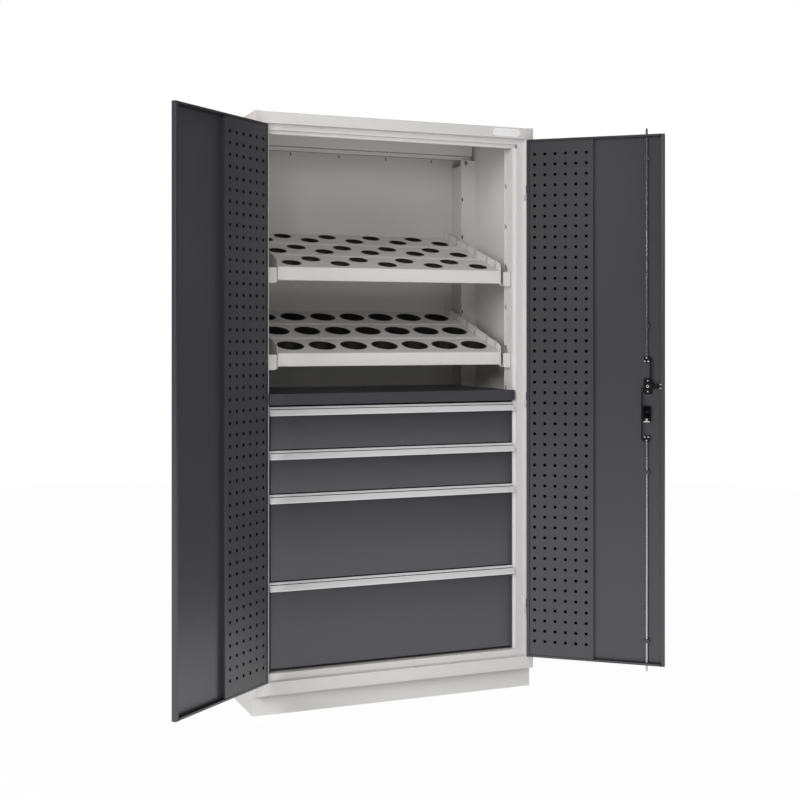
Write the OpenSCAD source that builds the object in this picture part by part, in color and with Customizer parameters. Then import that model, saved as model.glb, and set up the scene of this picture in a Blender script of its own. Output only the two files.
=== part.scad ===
// Tool cabinet with two perforated doors, two tilted tool-holder tiers and a block of four drawers.
// Millimetres. X runs to the right, Y runs to the back and Z runs up.
// The origin is on the floor under the middle of the body.
// Most modules are drawn from the front face (Y = 0) and moved back by place().

/* [Body] */
// Width over the side panels
body_w = 1066; // [900:2:1200]
// Height over the roof
body_h = 2070; // [1960:1:2200]
// Depth over the side panels
body_d = 600; // [560:5:700]
// Thickness of the body sheet
sheet_t = 1.5; // [1:0.1:2]
// Width of the front frame beside the doors
frame_w = 26; // [22:1:34]
// Height of the roof fascia
roof_fascia_h = 39; // [30:1:50]
// Height of the base fascia
base_fascia_h = 45; // [36:1:60]
// Height of the plinth
plinth_h = 74; // [50:1:110]
// Setback of the plinth behind the front face
plinth_setback = 31; // [10:1:50]
// Sheet thickness of the plinth
plinth_t = 2; // [1.5:0.1:3]
// Width of the folded plinth flanges
plinth_flange = 34; // [26:1:45]
// Width of the channel under the middle of the base
brace_w = 40; // [24:2:80]
// Depth of the recess that holds the closed doors
recess_d = 28; // [26:1:32]
// Width of the stop behind the doors
stop_w = 27; // [20:1:32]
// Height of the stop behind the doors at the base
base_stop_h = 22; // [14:1:30]
// Height of the stop behind the doors at the roof
roof_stop_h = 19; // [12:1:28]
// Second step from the stop to the slotted posts
step_d = 15; // [12:1:20]
// Width of the second step
step_w = 10; // [6:1:14]
// Height of the second step under the roof
step_h = 12; // [8:1:20]

/* [Posts] */
// Depth of the slotted face of a front post
post_front_d = 68; // [64:1:90]
// Depth of the slotted face of a rear post
post_rear_d = 97; // [85:1:110]
// Pitch of the wide slots
slot_pitch = 151; // [120:1:180]
// Height of the lowest wide slot above the floor
slot_z0 = 203; // [190:1:240]
// Drop of the rear posts' wide slots below those of the front posts
rear_slot_drop = 12; // [0:1:20]
// Width of a wide slot in the face of a front post
wide_slot_w = 10; // [6:0.5:11]
// Width of a wide slot around the front corner of a rear post
corner_slot_w = 5; // [3:0.5:6]
// Height of a wide slot
wide_slot_h = 14; // [10:1:18]
// Fine slots to each wide slot
fine_per_wide = 2; // [2:1:2]
// Height of the lowest fine slot over the lowest wide slot
fine_up = 32.5; // [28:0.5:36]
// Width of a fine slot
fine_slot_w = 2.4; // [2:0.2:3]
// Height of a fine slot
fine_slot_h = 19; // [16:1:22]
// Distance between the two rows of fine slots
fine_row_gap = 22; // [14:1:26]
// Radius of the small holes between the fine slots
dot_r = 2; // [1:0.1:2.5]
// Height of the open notch at the head of a rear post
notch_h = 22; // [10:1:30]
// Distance from the end of the rear beam to the side panel
beam_end = 13.5; // [0.5:0.5:20]

/* [Doors] */
// Opening angle of the doors as drawn
door_open = 140.5; // [0:0.5:176]
// Thickness of a door pan
door_t = 18; // [16:1:20]
// Sheet thickness of the doors
door_sheet = 1.2; // [1:0.1:1.5]
// Gap between the closed doors
door_mid_gap = 4; // [2:0.5:8]
// Gap between a closed door and the frame beside it
door_side_gap = 4; // [3:0.5:8]
// Gap under a closed door
door_low_gap = 3.5; // [3:0.5:8]
// Gap over a closed door
door_top_gap = 6.5; // [3:0.5:9]
// Width of the folded lip along the free edge
lip_free = 12; // [8:1:14]
// Width of the folded lip along the hinge edge
lip_hinge = 11; // [6:0.5:11]
// Width of the folded lips at the top and bottom
lip_end = 8; // [6:1:12]
// Pitch of the square perforation
perf_pitch = 38; // [30:1:40]
// Side of a square perforation
perf_hole = 10; // [6:0.5:14]
// Columns of perforation
perf_cols = 6; // [3:1:6]
// Rows of perforation
perf_rows = 48; // [20:1:48]
// Distance from the hinge edge of the door to the perforated panel
perf_edge = 11.7; // [11.5:0.1:14]
// Height of the perforated panel over the door lips
perf_rise = 0; // [0:0.5:3]
// Margin of the perforated panel beside the grid of holes
perf_margin = 8; // [2:0.5:12]
// Gap between the perforated panel and the door lips around it
perf_gap = 0.5; // [0.3:0.1:0.7]

/* [Hinges] */
// Heights of the hinges above the floor
hinge_z = [302, 1066, 1830];
// Radius of a hinge pin
hinge_pin_r = 3; // [2.5:0.1:3.2]
// Radius of a hinge barrel
hinge_barrel_r = 4.5; // [4.2:0.1:5]
// Length of one hinge barrel
hinge_len = 28; // [20:1:40]
// Radial clearance of a hinge pin
hinge_clear = 0.05; // [0.02:0.01:0.1]

/* [Lock] */
// Distance from the free edge of the door to the lock spindle
lock_d = 60.4; // [56:0.2:62]
// Height of the lock spindle above the floor
lock_z = 1122.5; // [1050:0.5:1200]
// Radius of the spindle
spindle_r = 6; // [5:0.1:7]
// Radius of the cam disc
cam_r = 22; // [21.5:0.5:24]
// Distance from the spindle to a cam pin
cam_pin_d = 17; // [15:0.5:18]
// Radius of a cam pin
cam_pin_r = 2.5; // [2:0.1:3]
// Reach of the tongue from the spindle
tongue_len = 50; // [40:1:52]
// Distance from the free edge of the door to the lock rods
rod_d = 64; // [62:0.5:66]
// Radius of a lock rod
rod_r = 4; // [3:0.1:4.5]
// Reach of a thrown rod past the end of the door
rod_throw = 23; // [18:1:30]
// Radius of the keeper holes
keeper_r = 7; // [6:0.5:9]
// Distance from the spindle to the end of the upper rod
foot_up_d = 96; // [80:1:120]
// Distance from the spindle to the end of the lower rod
foot_low_d = 188; // [180:1:200]
// Reach of a rod's foot above and below the end of the rod
foot_h = 11; // [8:0.5:14]
// Distance of the outer rod guides from the rod tips
guide_tip_d = 110; // [60:1:200]
// Distance of the inner rod guides from the rod ends
guide_foot_d = 120; // [60:1:200]
// Drop of the lock cylinder below the spindle
plug_drop = 91.5; // [85:0.5:95]
// Length of the lever outside the door
lever_len = 72; // [50:1:80]

/* [Tiers] */
// Tilt of the tiers
tier_tilt = 17; // [15.5:0.5:18]
// Front edge of the rails behind the front face
tier_front = 65; // [60:1:72]
// Fine slot that holds the front hook of the upper tier, counted from below
upper_step = 17; // [17:1:18]
// Fine slot that holds the front hook of the lower tier, counted from below
lower_step = 13; // [13:1:14]
// Height of the front edge of a tier over the middle of its slot
tier_rise = 25; // [22:0.5:28]
// Width of a rail measured along the slope
rail_w = 167; // [140:1:172]
// Pitch of the rails measured along the slope
rail_pitch = 183; // [175:1:185]
// Height of the front lip of a rail
rail_lip = 50; // [30:1:60]
// Height of the rear and end lips of a rail
rail_turn = 20; // [10:1:30]
// Sockets in the front row of an upper rail
upper_count = 5; // [3:1:5]
// Distance from the end of a rail to its outer upper socket
upper_end = 66; // [60:1:80]
// Front row of the upper sockets from the rail edge
upper_row_1 = 60; // [50:1:70]
// Rear row of the upper sockets from the rail edge
upper_row_2 = 122.5; // [115:0.5:126]
// Inner radius of an upper socket
upper_r = 30; // [20:0.5:31]
// Sockets in a lower rail
lower_count = 7; // [4:1:7]
// Distance from the end of a rail to its outer lower socket
lower_end = 70; // [66:1:80]
// Row of the lower sockets from the rail edge
lower_row = 89; // [80:1:95]
// Inner radius of a lower socket
lower_r = 44; // [30:0.5:46]
// Wall of a socket sleeve
sleeve_wall = 3; // [2:0.1:3.4]
// Width of the rim of a socket sleeve
sleeve_rim = 2.4; // [1:0.1:2.8]
// Thickness of the rim of a socket sleeve
sleeve_rim_t = 1; // [0.6:0.1:2]
// Depth of a socket sleeve
sleeve_depth = 32; // [20:1:44]
// Height of an arm
arm_h = 53; // [45:1:60]
// Rise of the inner arm wall over the rails
arm_rise = 25; // [15:1:35]
// Width of the front tab of an arm
arm_tab_w = 31; // [24:1:34]

/* [Drawers] */
// Front height of one drawer unit with its gap
unit_h = 151.5; // [140:0.5:155]
// Heights of the drawers from the top in units
drawer_units = [1, 1, 2, 2];
// Lower edge of the lowest drawer front above the floor
drawer_z0 = 148; // [146:1:160]
// Gap between drawer fronts
front_gap = 3; // [1:0.5:5]
// Plane of the drawer fronts behind the front face
front_y = 45; // [44:1:50]
// Thickness of a drawer front
front_t = 15; // [12:1:18]
// Width of the lips behind a drawer front
front_lip = 15; // [12:1:20]
// Half width of the drawer block
block_hw = 469; // [460:0.5:469.5]
// Height of the front face of the cover
cover_face_h = 38.5; // [30:0.5:50]
// Gap between the cover face and the top drawer
cover_gap = 6.5; // [4:0.5:10]
// Height of a drawer handle
handle_h = 30.5; // [26:0.5:36]
// Reach of a drawer handle in front of the drawer front
handle_reach = 19; // [14:0.5:19]
// Travel of a drawer
drawer_travel = 450; // [300:5:460]
// Length of the drawer runners
runner_len = 500; // [480:5:510]
// Sheet thickness of a drawer body
drawer_sheet = 1.2; // [0.8:0.1:1.5]

/* [Name plate] */
// Width of the plain plate on the roof fascia
plate_w = 112; // [60:1:160]
// Height of the plain plate
plate_h = 29; // [16:1:30]
// Distance from the middle of the cabinet to the middle of the plate
plate_x = 423; // [0:1:430]

/* [Hidden] */
// Pitch of the slots in the back wall and the shift of their row
back_slot_pitch = 200;
back_slot_shift = 21;
// Inset of the frame bolts from the sides
bolt_inset = 40;
$fn = 48;
// Small gap between pieces that lie side by side
fit = 0.2;
// Overcut of every through hole
over = 1;
hw = body_w / 2;
in_hw = hw - sheet_t;
open_hw = hw - frame_w;
stop_hw = open_hw - stop_w;
post_hw = stop_hw - step_w;
base_z = plinth_h;
open_z0 = base_z + base_fascia_h;
open_z1 = body_h - roof_fascia_h;
floor_z = open_z0 + base_stop_h;
stop_z1 = open_z1 - roof_stop_h;
post_z1 = stop_z1 - step_h;
stop_y = recess_d;
post_y = recess_d + step_d;
post_y1 = post_y + post_front_d;
back_y = body_d - 8;
rear_y = back_y - post_rear_d;
beam_z0 = open_z1 - 20;
plinth_mid_y = (plinth_setback + body_d - 1) / 2;
anchor_dx = body_w - 2 * 120;
anchor_dy = body_d - 1 - plinth_setback - plinth_flange;
anchor_r = 5.5;
slot_count = floor((post_z1 - slot_z0) / slot_pitch) + 1;
fine_pitch = slot_pitch / fine_per_wide;
fine_z0 = slot_z0 + fine_up;
fine_count = floor((post_z1 - 60 - fine_z0) / fine_pitch) + 1;
wide_front_y = post_y1 - 9;
fine_front = [post_y1 - 21 - fine_row_gap, post_y1 - 21];
fine_rear = [rear_y + 30, rear_y + 30 + fine_row_gap];

hinge_x = open_hw - 2;
hinge_y = -hinge_barrel_r - 0.1;
leaf_x0 = door_mid_gap / 2;
leaf_x1 = open_hw - door_side_gap;
leaf_y0 = 1;
leaf_y1 = leaf_y0 + door_t;
leaf_z0 = open_z0 + door_low_gap;
leaf_z1 = open_z1 - door_top_gap;
leaf_mid_z = (leaf_z0 + leaf_z1) / 2;
perf_w = perf_cols * perf_pitch;
perf_h = perf_rows * perf_pitch;
perf_x1 = leaf_x1 - perf_edge;
perf_x0 = perf_x1 - perf_w;
perf_z0 = leaf_mid_z - perf_h / 2 + 2.5;
perf_y1 = leaf_y1 + perf_rise;

lock_x = leaf_x0 + lock_d;
rod_x = leaf_x0 + rod_d;
rod_y = leaf_y0 + door_t / 2;
case_y1 = leaf_y0 + 11;
cam_y0 = case_y1 + 0.5;
cam_y1 = cam_y0 + 2.5;
link_y0 = cam_y1 + 0.5;
link_y1 = link_y0 + 2;
pin_off = cam_pin_d * sin(45);
rod_travel = 2 * pin_off;
rod_top_z = leaf_z1 + rod_throw;
rod_low_z = leaf_z0 - rod_throw;
rod_foot_up = lock_z + foot_up_d;
rod_foot_low = lock_z - foot_low_d;
head_in = pin_off - cam_pin_r - 3;
head_out = cam_pin_d + cam_pin_r + 3;
plug_z = lock_z - plug_drop;
plug_x = lock_x + 3;
plug_r = 5;

sleeve_top = sleeve_rim_t;
tier_k = tan(tier_tilt);
arm_front = tier_front - 8;
arm_back = back_y - 4;
arm_in = block_hw - 38;
rail_hw = arm_in - 1;
upper_z = fine_z0 + upper_step * fine_pitch + tier_rise;
lower_z = fine_z0 + lower_step * fine_pitch + tier_rise;
upper_pitch = 2 * (rail_hw - upper_end) / (upper_count - 1);
lower_pitch = 2 * (rail_hw - lower_end) / (lower_count - 1);

block_top = drawer_z0 + 6 * unit_h + cover_gap + cover_face_h;
zone_top = drawer_z0 + 6 * unit_h;
cover_hw = block_hw + 3.5;
front_hw = block_hw - 5.5;
box_hw = block_hw - 14.2;
handle_y = front_y - handle_reach;
block_y0 = front_y + 5;
block_y1 = back_y - 2;
runner_y = front_y + front_t + 2;
runner_h = 22.8;
units_over = [0, 1, 2, 4];

LIGHT = [0.77, 0.77, 0.76];
DARK = [0.27, 0.28, 0.30];
ZINC = [0.72, 0.74, 0.76];
ALU = [0.80, 0.80, 0.81];
BLACK = [0.08, 0.08, 0.09];

// Helpers

// Moves a piece drawn from the front face to the cabinet's own frame.
module place() {
    translate([0, -body_d / 2, 0]) children();
}

// A block from its two corners.
module block(a, b) {
    translate(a) cube([b[0] - a[0], b[1] - a[1], b[2] - a[2]]);
}

// A flat rectangle from its two corners.
module rect(a, b) {
    translate(a) square([b[0] - a[0], b[1] - a[1]]);
}

// Extrudes an outline in Y and Z along X, between x0 and x1.
module along_x(x0, x1) {
    translate([x0, 0, 0]) rotate([90, 0, 90]) linear_extrude(x1 - x0) children();
}

// Extrudes an outline in X and Z along Y, between y0 and y1.
module along_y(y0, y1) {
    translate([0, y1, 0]) rotate([90, 0, 0]) linear_extrude(y1 - y0) children();
}

// Draws the children and their mirror image.
module both() {
    children();
    mirror([1, 0, 0]) children();
}

// A round bar along Y.
module bar_y(x, z, y0, y1, r) {
    translate([x, y1, z]) rotate([90, 0, 0]) cylinder(h = y1 - y0, r = r);
}

// Body

// One side panel with its front frame strip, door jamb, stop and rear return.
module side_panel() {
    color(LIGHT) place() {
        block([in_hw, 0, base_z], [hw, body_d, body_h]);
        block([hw - 20, body_d - sheet_t, base_z], [hw, body_d, body_h]);
        along_y(0, sheet_t) polygon([[hw, base_z], [hw, body_h], [open_hw, open_z1], [open_hw, open_z0]]);
        block([open_hw, 0, open_z0], [open_hw + sheet_t, stop_y + sheet_t, open_z1]);
        block([stop_hw, stop_y, open_z0], [open_hw + sheet_t, stop_y + sheet_t, open_z1]);
    }
}

module side_right() {
    side_panel();
}

module side_left() {
    mirror([1, 0, 0]) side_panel();
}

module back_panel() {
    z_row = beam_z0 + 2;
    color(LIGHT) place() difference() {
        block([-in_hw + fit, back_y + fit, floor_z],
            [in_hw - fit, back_y + fit + sheet_t, body_h - sheet_t - fit]);
        for (k = [-2 : 2])
            translate([k * back_slot_pitch - back_slot_shift, 0, z_row])
                block([-2.5, back_y, -6], [2.5, back_y + fit + sheet_t + over, 6]);
    }
}

// A fascia outline in X and Z whose ends are mitred against the side panels.
module fascia_outline(z_in, z_out) {
    reach = in_hw - fit;
    slope = (z_out - z_in) / frame_w;
    z_kink = z_in + (reach - open_hw + fit) * slope;
    polygon([[-open_hw + fit, z_in], [open_hw - fit, z_in], [reach, z_kink], [reach, z_out],
        [-reach, z_out], [-reach, z_kink]]);
}

module roof() {
    reach = in_hw - fit;
    rear = body_d - sheet_t - fit;
    color(LIGHT) place() {
        block([-reach, 0, body_h - sheet_t], [reach, rear, body_h]);
        along_y(0, sheet_t) fascia_outline(open_z1, body_h);
        block([-reach, rear - sheet_t, open_z1], [reach, rear, body_h]);
        both() block([reach - sheet_t, sheet_t, body_h - 16], [reach, rear_y + 3 - fit, body_h]);
    }
}

// The folded strip over the doors, with its stop, its step and the keeper hole.
module header() {
    x1 = open_hw - fit;
    x2 = stop_hw - fit;
    z1 = open_z1 + sheet_t;
    color(LIGHT) place() difference() {
        union() {
            along_x(-x1, x1) rect([sheet_t, open_z1], [stop_y + sheet_t, z1]);
            along_x(-x2, x2) {
                rect([stop_y, stop_z1], [stop_y + sheet_t, z1]);
                rect([stop_y, stop_z1], [post_y + sheet_t, stop_z1 + sheet_t]);
                rect([post_y, post_z1], [post_y + sheet_t, stop_z1 + sheet_t]);
                rect([post_y, post_z1], [post_y + 17, post_z1 + sheet_t]);
            }
        }
        translate([rod_x, rod_y, open_z1 - over]) cylinder(h = sheet_t + 2 * over, r = keeper_r);
        block([-5, stop_y - over, open_z1 - 12], [5, stop_y + sheet_t + over, open_z1 - 7]);
    }
}

// The face of a post in Y and Z, with rows of fine slots and the small holes between them.
module slotted_face(y0, y1, fine_rows, z1) {
    difference() {
        rect([y0, floor_z], [y1, z1]);
        for (k = [0 : fine_count - 1], y = fine_rows)
            translate([y - fine_slot_w / 2, fine_z0 + k * fine_pitch - fine_slot_h / 2])
                square([fine_slot_w, fine_slot_h]);
        for (k = [0 : slot_count - 2], y = fine_rows, up = [slot_pitch / 3, slot_pitch - 9])
            translate([y, slot_z0 + k * slot_pitch + up]) circle(r = dot_r);
    }
}

module posts_front() {
    color(LIGHT) place() both() {
        along_x(post_hw, post_hw + sheet_t) difference() {
            slotted_face(post_y, post_y1, fine_front, post_z1);
            for (k = [0 : slot_count - 1])
                translate([wide_front_y - wide_slot_w / 2, slot_z0 + k * slot_pitch - wide_slot_h / 2])
                    square([wide_slot_w, wide_slot_h]);
        }
        translate([0, 0, floor_z]) linear_extrude(post_z1 - floor_z) {
            rect([stop_hw, stop_y + sheet_t], [stop_hw + sheet_t, post_y + sheet_t]);
            rect([post_hw, post_y], [stop_hw + sheet_t, post_y + sheet_t]);
            rect([post_hw, post_y1 - sheet_t], [post_hw + 16, post_y1]);
        }
    }
}

module posts_rear() {
    z1 = beam_z0 - fit;
    x_hole = post_hw + 19;
    color(LIGHT) place() both() difference() {
        union() {
            along_x(post_hw, post_hw + sheet_t) slotted_face(rear_y, back_y, fine_rear, z1);
            translate([0, 0, floor_z]) linear_extrude(z1 - floor_z) {
                rect([post_hw, rear_y], [in_hw - fit, rear_y + sheet_t]);
                rect([post_hw, back_y - sheet_t], [post_hw + 20, back_y]);
            }
        }
        // Wide slots punched around the front corner
        for (z = [slot_z0 - rear_slot_drop : slot_pitch : z1 - 40])
            block([post_hw - over, rear_y - over, z - wide_slot_h / 2],
                [post_hw + corner_slot_w, rear_y + sheet_t + 1, z + wide_slot_h / 2]);
        // Open notch, square hole and round hole at the head
        block([post_hw - over, rear_y + 11, z1 - notch_h], [post_hw + sheet_t + over, back_y - 4, z1 + over]);
        block([x_hole - 5.5, rear_y - over, z1 - 17], [x_hole + 5.5, rear_y + sheet_t + over, z1 - 3]);
        bar_y(x_hole, z1 - 25, rear_y - over, rear_y + sheet_t + over, dot_r);
    }
}

module rear_beam() {
    reach = in_hw - beam_end;
    z1 = body_h - sheet_t - fit;
    color(LIGHT) place() along_x(-reach, reach) {
        rect([rear_y + 3, open_z1 - 1], [rear_y + 3 + sheet_t, z1]);
        rect([rear_y + 3, open_z1 - 1], [rear_y + 18, open_z1 - 1 + sheet_t]);
        rect([rear_y + 18 - sheet_t, beam_z0], [rear_y + 18, open_z1 - 1 + sheet_t]);
        rect([rear_y + 3, z1 - sheet_t], [rear_y + 30, z1]);
    }
}

// The closed base pan with its fascia, sill, stop and floor.
module base_frame() {
    reach = in_hw - fit;
    x1 = open_hw - fit;
    x2 = stop_hw - fit;
    rear = body_d - sheet_t - fit;
    color(LIGHT) place() difference() {
        union() {
            block([-reach, 0, base_z], [reach, rear, base_z + sheet_t]);
            along_y(0, sheet_t) mirror([0, 1]) translate([0, -open_z0 - base_z]) fascia_flipped();
            block([-x1, 0, open_z0 - sheet_t], [x1, stop_y + sheet_t, open_z0]);
            block([-x2, stop_y, open_z0 - sheet_t], [x2, stop_y + sheet_t, floor_z]);
            block([-x2, stop_y, floor_z - sheet_t], [x2, stop_y + 2 * sheet_t, floor_z]);
            block([-reach, stop_y + sheet_t + fit, floor_z - sheet_t], [reach, rear, floor_z]);
            block([-reach, rear - sheet_t, base_z], [reach, rear, floor_z]);
        }
        translate([rod_x, rod_y, open_z0 - sheet_t - over]) cylinder(h = sheet_t + 2 * over, r = keeper_r);
        block([-5, stop_y - over, open_z0 + 7], [5, stop_y + sheet_t + over, open_z0 + 12]);
        bolt_places() translate([0, 0, base_z - over]) cylinder(h = sheet_t + 2 * over, r = 4.3);
    }
}

// The base fascia is the roof fascia's outline turned over about the middle of its own height.
module fascia_flipped() {
    fascia_outline(base_z, open_z0);
}

// Places of the bolts between the plinth and the base.
module bolt_places() {
    for (sx = [-1, 1], y = [plinth_setback + plinth_flange / 2, body_d - plinth_flange / 2])
        translate([sx * (hw - bolt_inset - plinth_flange), y, 0]) children();
}

// Places of the floor anchors in the lower plinth flange.
module anchor_places() {
    for (sx = [-1, 1], sy = [-1, 1])
        translate([sx * anchor_dx / 2, plinth_mid_y + sy * anchor_dy / 2, 0]) children();
}

// An open plinth of folded sheet, with a channel from front to rear under the middle of the base.
module plinth() {
    px = hw - 1;
    y0 = plinth_setback;
    y1 = body_d - 1;
    f = plinth_flange;
    t = plinth_t;
    color(LIGHT) place() difference() {
        union() {
            difference() {
                block([-px, y0, 0], [px, y1, base_z]);
                block([-px + t, y0 + t, t], [px - t, y1 - t, base_z - t]);
                block([-px + f, y0 + f, -over], [px - f, y1 - f, base_z + over]);
            }
            block([-brace_w / 2, y0 + t, 0], [brace_w / 2, y1 - t, t]);
            both() block([brace_w / 2 - t, y0 + t, 0], [brace_w / 2, y1 - t, base_z]);
        }
        bolt_places() translate([0, 0, base_z - t - over]) cylinder(h = t + 2 * over, r = 4.3);
        anchor_places() translate([0, 0, -over]) cylinder(h = t + 2 * over, r = anchor_r);
    }
}

module frame_bolts() {
    color(ZINC) place() bolt_places() {
        translate([0, 0, base_z - plinth_t - 8]) cylinder(h = plinth_t + sheet_t + 16, r = 4);
        translate([0, 0, base_z - plinth_t - 6]) cylinder(h = 6, r = 7.5, $fn = 6);
        translate([0, 0, base_z + sheet_t]) cylinder(h = 6, r = 7.5, $fn = 6);
    }
}

// A plain plate with round ends on the roof fascia.
module name_plate() {
    z = open_z1 + roof_fascia_h / 2;
    r = plate_h / 2;
    color(ALU) place() {
        block([plate_x - plate_w / 2 + r, -0.6, z - r], [plate_x + plate_w / 2 - r, 0, z + r]);
        for (s = [-1, 1]) bar_y(plate_x + s * (plate_w / 2 - r), z, -0.6, 0, r);
    }
}

// The fixed half of a lift-off hinge: a barrel with its pin and the tab behind it.
module hinge_half() {
    translate([hinge_x, hinge_y, -hinge_len]) cylinder(h = hinge_len, r = hinge_barrel_r);
    translate([hinge_x, hinge_y, -over]) cylinder(h = hinge_len - 3 + over, r = hinge_pin_r);
    block([hinge_x + 0.4, hinge_y, -hinge_len], [open_hw - 0.1, 24, -0.4]);
}

module hinge_halves() {
    color(ZINC) place() both() for (z = hinge_z) translate([0, 0, z]) hinge_half();
}

// Tiers

// Turns a rail drawn on the flat to its place on the slope.
module on_slope(z, k) {
    translate([0, tier_front, z]) rotate([tier_tilt, 0, 0]) translate([0, k * rail_pitch, 0]) children();
}

// Places of the sockets of an upper rail.
module upper_places() {
    for (i = [0 : upper_count - 1])
        translate([(i - (upper_count - 1) / 2) * upper_pitch, upper_row_1, 0]) children();
    for (i = [0 : upper_count - 2])
        translate([(i - (upper_count - 2) / 2) * upper_pitch, upper_row_2, 0]) children();
}

// Places of the sockets of a lower rail.
module lower_places() {
    for (i = [0 : lower_count - 1])
        translate([(i - (lower_count - 1) / 2) * lower_pitch, lower_row, 0]) children();
}

// One pressed rail on the flat: plate, front lip with its return, rear lip and end lips.
module rail_blank() {
    block([-rail_hw, 0, -sheet_t], [rail_hw, rail_w, 0]);
    block([-rail_hw, 0, -rail_lip], [rail_hw, sheet_t, 0]);
    block([-rail_hw, 0, -rail_lip], [rail_hw, 12, -rail_lip + sheet_t]);
    block([-rail_hw, rail_w - sheet_t, -rail_turn], [rail_hw, rail_w, 0]);
    both() block([rail_hw - sheet_t, 0, -rail_turn], [rail_hw, rail_w, 0]);
}

module upper_rail(k) {
    color(LIGHT) place() on_slope(upper_z, k) difference() {
        rail_blank();
        upper_places() translate([0, 0, -sheet_t - over])
            cylinder(h = sheet_t + 2 * over, r = upper_r + sleeve_wall + fit);
    }
}

module lower_rail(k) {
    color(LIGHT) place() on_slope(lower_z, k) difference() {
        rail_blank();
        lower_places() translate([0, 0, -sheet_t - over])
            cylinder(h = sheet_t + 2 * over, r = lower_r + sleeve_wall + fit);
    }
}

// One socket sleeve with its rim on the rail.
module sleeve(r) {
    difference() {
        union() {
            translate([0, 0, -sleeve_depth]) cylinder(h = sleeve_depth + sleeve_top, r = r + sleeve_wall);
            cylinder(h = sleeve_top, r = r + sleeve_wall + sleeve_rim);
        }
        translate([0, 0, -sleeve_depth - over]) cylinder(h = sleeve_depth + sleeve_top + 2 * over, r = r);
    }
}

module upper_sleeves() {
    color(BLACK) place() for (k = [0 : 2]) on_slope(upper_z, k) upper_places() sleeve(upper_r);
}

module lower_sleeves() {
    color(BLACK) place() for (k = [0 : 2]) on_slope(lower_z, k) lower_places() sleeve(lower_r);
}

// One arm: an outer wall against the posts, a web, an inner wall beside the rails and a front tab.
module arm(z) {
    run = arm_back - arm_front;
    z_top = z - 4;
    z_low = z_top - arm_h;
    y_in = tier_front + 2;
    inner_top = z + (y_in - tier_front) * tier_k + arm_rise / cos(tier_tilt);
    z_in = z_low + (y_in - arm_front) * tier_k;
    hook_y = [fine_front[1], fine_rear[0]];
    // Outer wall
    along_x(block_hw - sheet_t, block_hw)
        polygon([[arm_front, z_low], [arm_front, z_top], [arm_back, z_top + run * tier_k],
            [arm_back, z_low + run * tier_k]]);
    // Web between the walls
    along_x(arm_in, block_hw)
        polygon([[y_in, z_in], [y_in, z_in + 1.6], [arm_back, z_low + run * tier_k + 1.6],
            [arm_back, z_low + run * tier_k]]);
    // Inner wall
    along_x(arm_in, arm_in + sheet_t)
        polygon([[y_in, z_in], [y_in, inner_top - 12], [y_in + 14, inner_top + 14 * tier_k],
            [arm_back - 10, inner_top + (arm_back - 10 - y_in) * tier_k],
            [arm_back, z_low + run * tier_k + 40], [arm_back, z_low + run * tier_k]]);
    // Front tab
    block([block_hw - arm_tab_w, arm_front, z_low], [block_hw, arm_front + sheet_t, z_top]);
    // Hooks in the fine slots of the posts
    for (y = hook_y) arm_hook(y, z_low + (y - arm_front) * tier_k);
}

// Height of the fine slot nearest to the middle of an arm, for a hook that starts at z.
function slot_near(z) = fine_z0 + round((z + arm_h / 2 - fine_z0) / fine_pitch) * fine_pitch;

// A hook through a fine slot, set down on the lower edge of the slot where the arm reaches it.
module arm_hook(y, z) {
    hook_low = max(slot_near(z) - fine_slot_h / 2 + fit / 2, z + 0.5);
    half = fine_slot_w / 2 - fit;
    block([block_hw - 0.5, y - half, hook_low], [post_hw + sheet_t + 3, y + half, hook_low + 9]);
}

module upper_arms() {
    color(LIGHT) place() both() arm(upper_z);
}

module lower_arms() {
    color(LIGHT) place() both() arm(lower_z);
}

// A bent clip that hangs one end of a rail over the inner wall of its arm.
module rail_clip() {
    t = 1.2;
    top = arm_rise + fit;
    far = arm_in + sheet_t + fit;
    block([rail_hw - 14, -7, 0], [rail_hw - fit, 7, t]);
    block([rail_hw - fit - t, -7, 0], [rail_hw - fit, 7, top + t]);
    block([rail_hw - fit - t, -7, top], [far + t, 7, top + t]);
    block([far, -7, arm_rise - 12], [far + t, 7, top + t]);
}

module rail_clips() {
    color(ZINC) place() both() for (z = [upper_z, lower_z], k = [0 : 2], s = [50, 128])
        on_slope(z, k) translate([0, s, 0]) rail_clip();
}

// Drawer block

// The cover over the drawers: a top, a front face, end returns and a lower return.
module block_cover() {
    z1 = block_top;
    z0 = z1 - cover_face_h;
    y0 = block_y0 - 19;
    y_neck = post_y - 0.5;
    color(DARK) place() {
        block([-block_hw, y0, z1 - sheet_t], [block_hw, block_y1, z1]);
        block([-cover_hw, y0, z1 - sheet_t], [cover_hw, y_neck, z1]);
        block([-cover_hw, y0, z0], [cover_hw, y0 + sheet_t, z1]);
        block([-cover_hw, y0, z0], [cover_hw, y_neck, z0 + sheet_t]);
        both() block([cover_hw - sheet_t, y0, z0], [cover_hw, y_neck, z1]);
    }
}

module block_side() {
    z1 = block_top - sheet_t - fit / 2;
    color(DARK) place() {
        block([block_hw - sheet_t, block_y0, floor_z], [block_hw, block_y1, z1]);
        block([block_hw - 4.5, block_y0, floor_z], [block_hw, block_y0 + sheet_t, z1]);
    }
}

module block_side_right() {
    block_side();
}

module block_side_left() {
    mirror([1, 0, 0]) block_side();
}

module block_back() {
    x1 = block_hw - sheet_t - fit;
    color(DARK) place()
        block([-x1, block_y1 - sheet_t, floor_z], [x1, block_y1, block_top - sheet_t - fit / 2]);
}

// Lower edge of the front of drawer i, counted from the top.
function low_z(i) = zone_top - (units_over[i] + drawer_units[i]) * unit_h;

// Upper edge of the front of drawer i.
function top_z(i) = zone_top - units_over[i] * unit_h;

// Height of the runners of drawer i.
function runner_z(i) = low_z(i) + 48;

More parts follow.
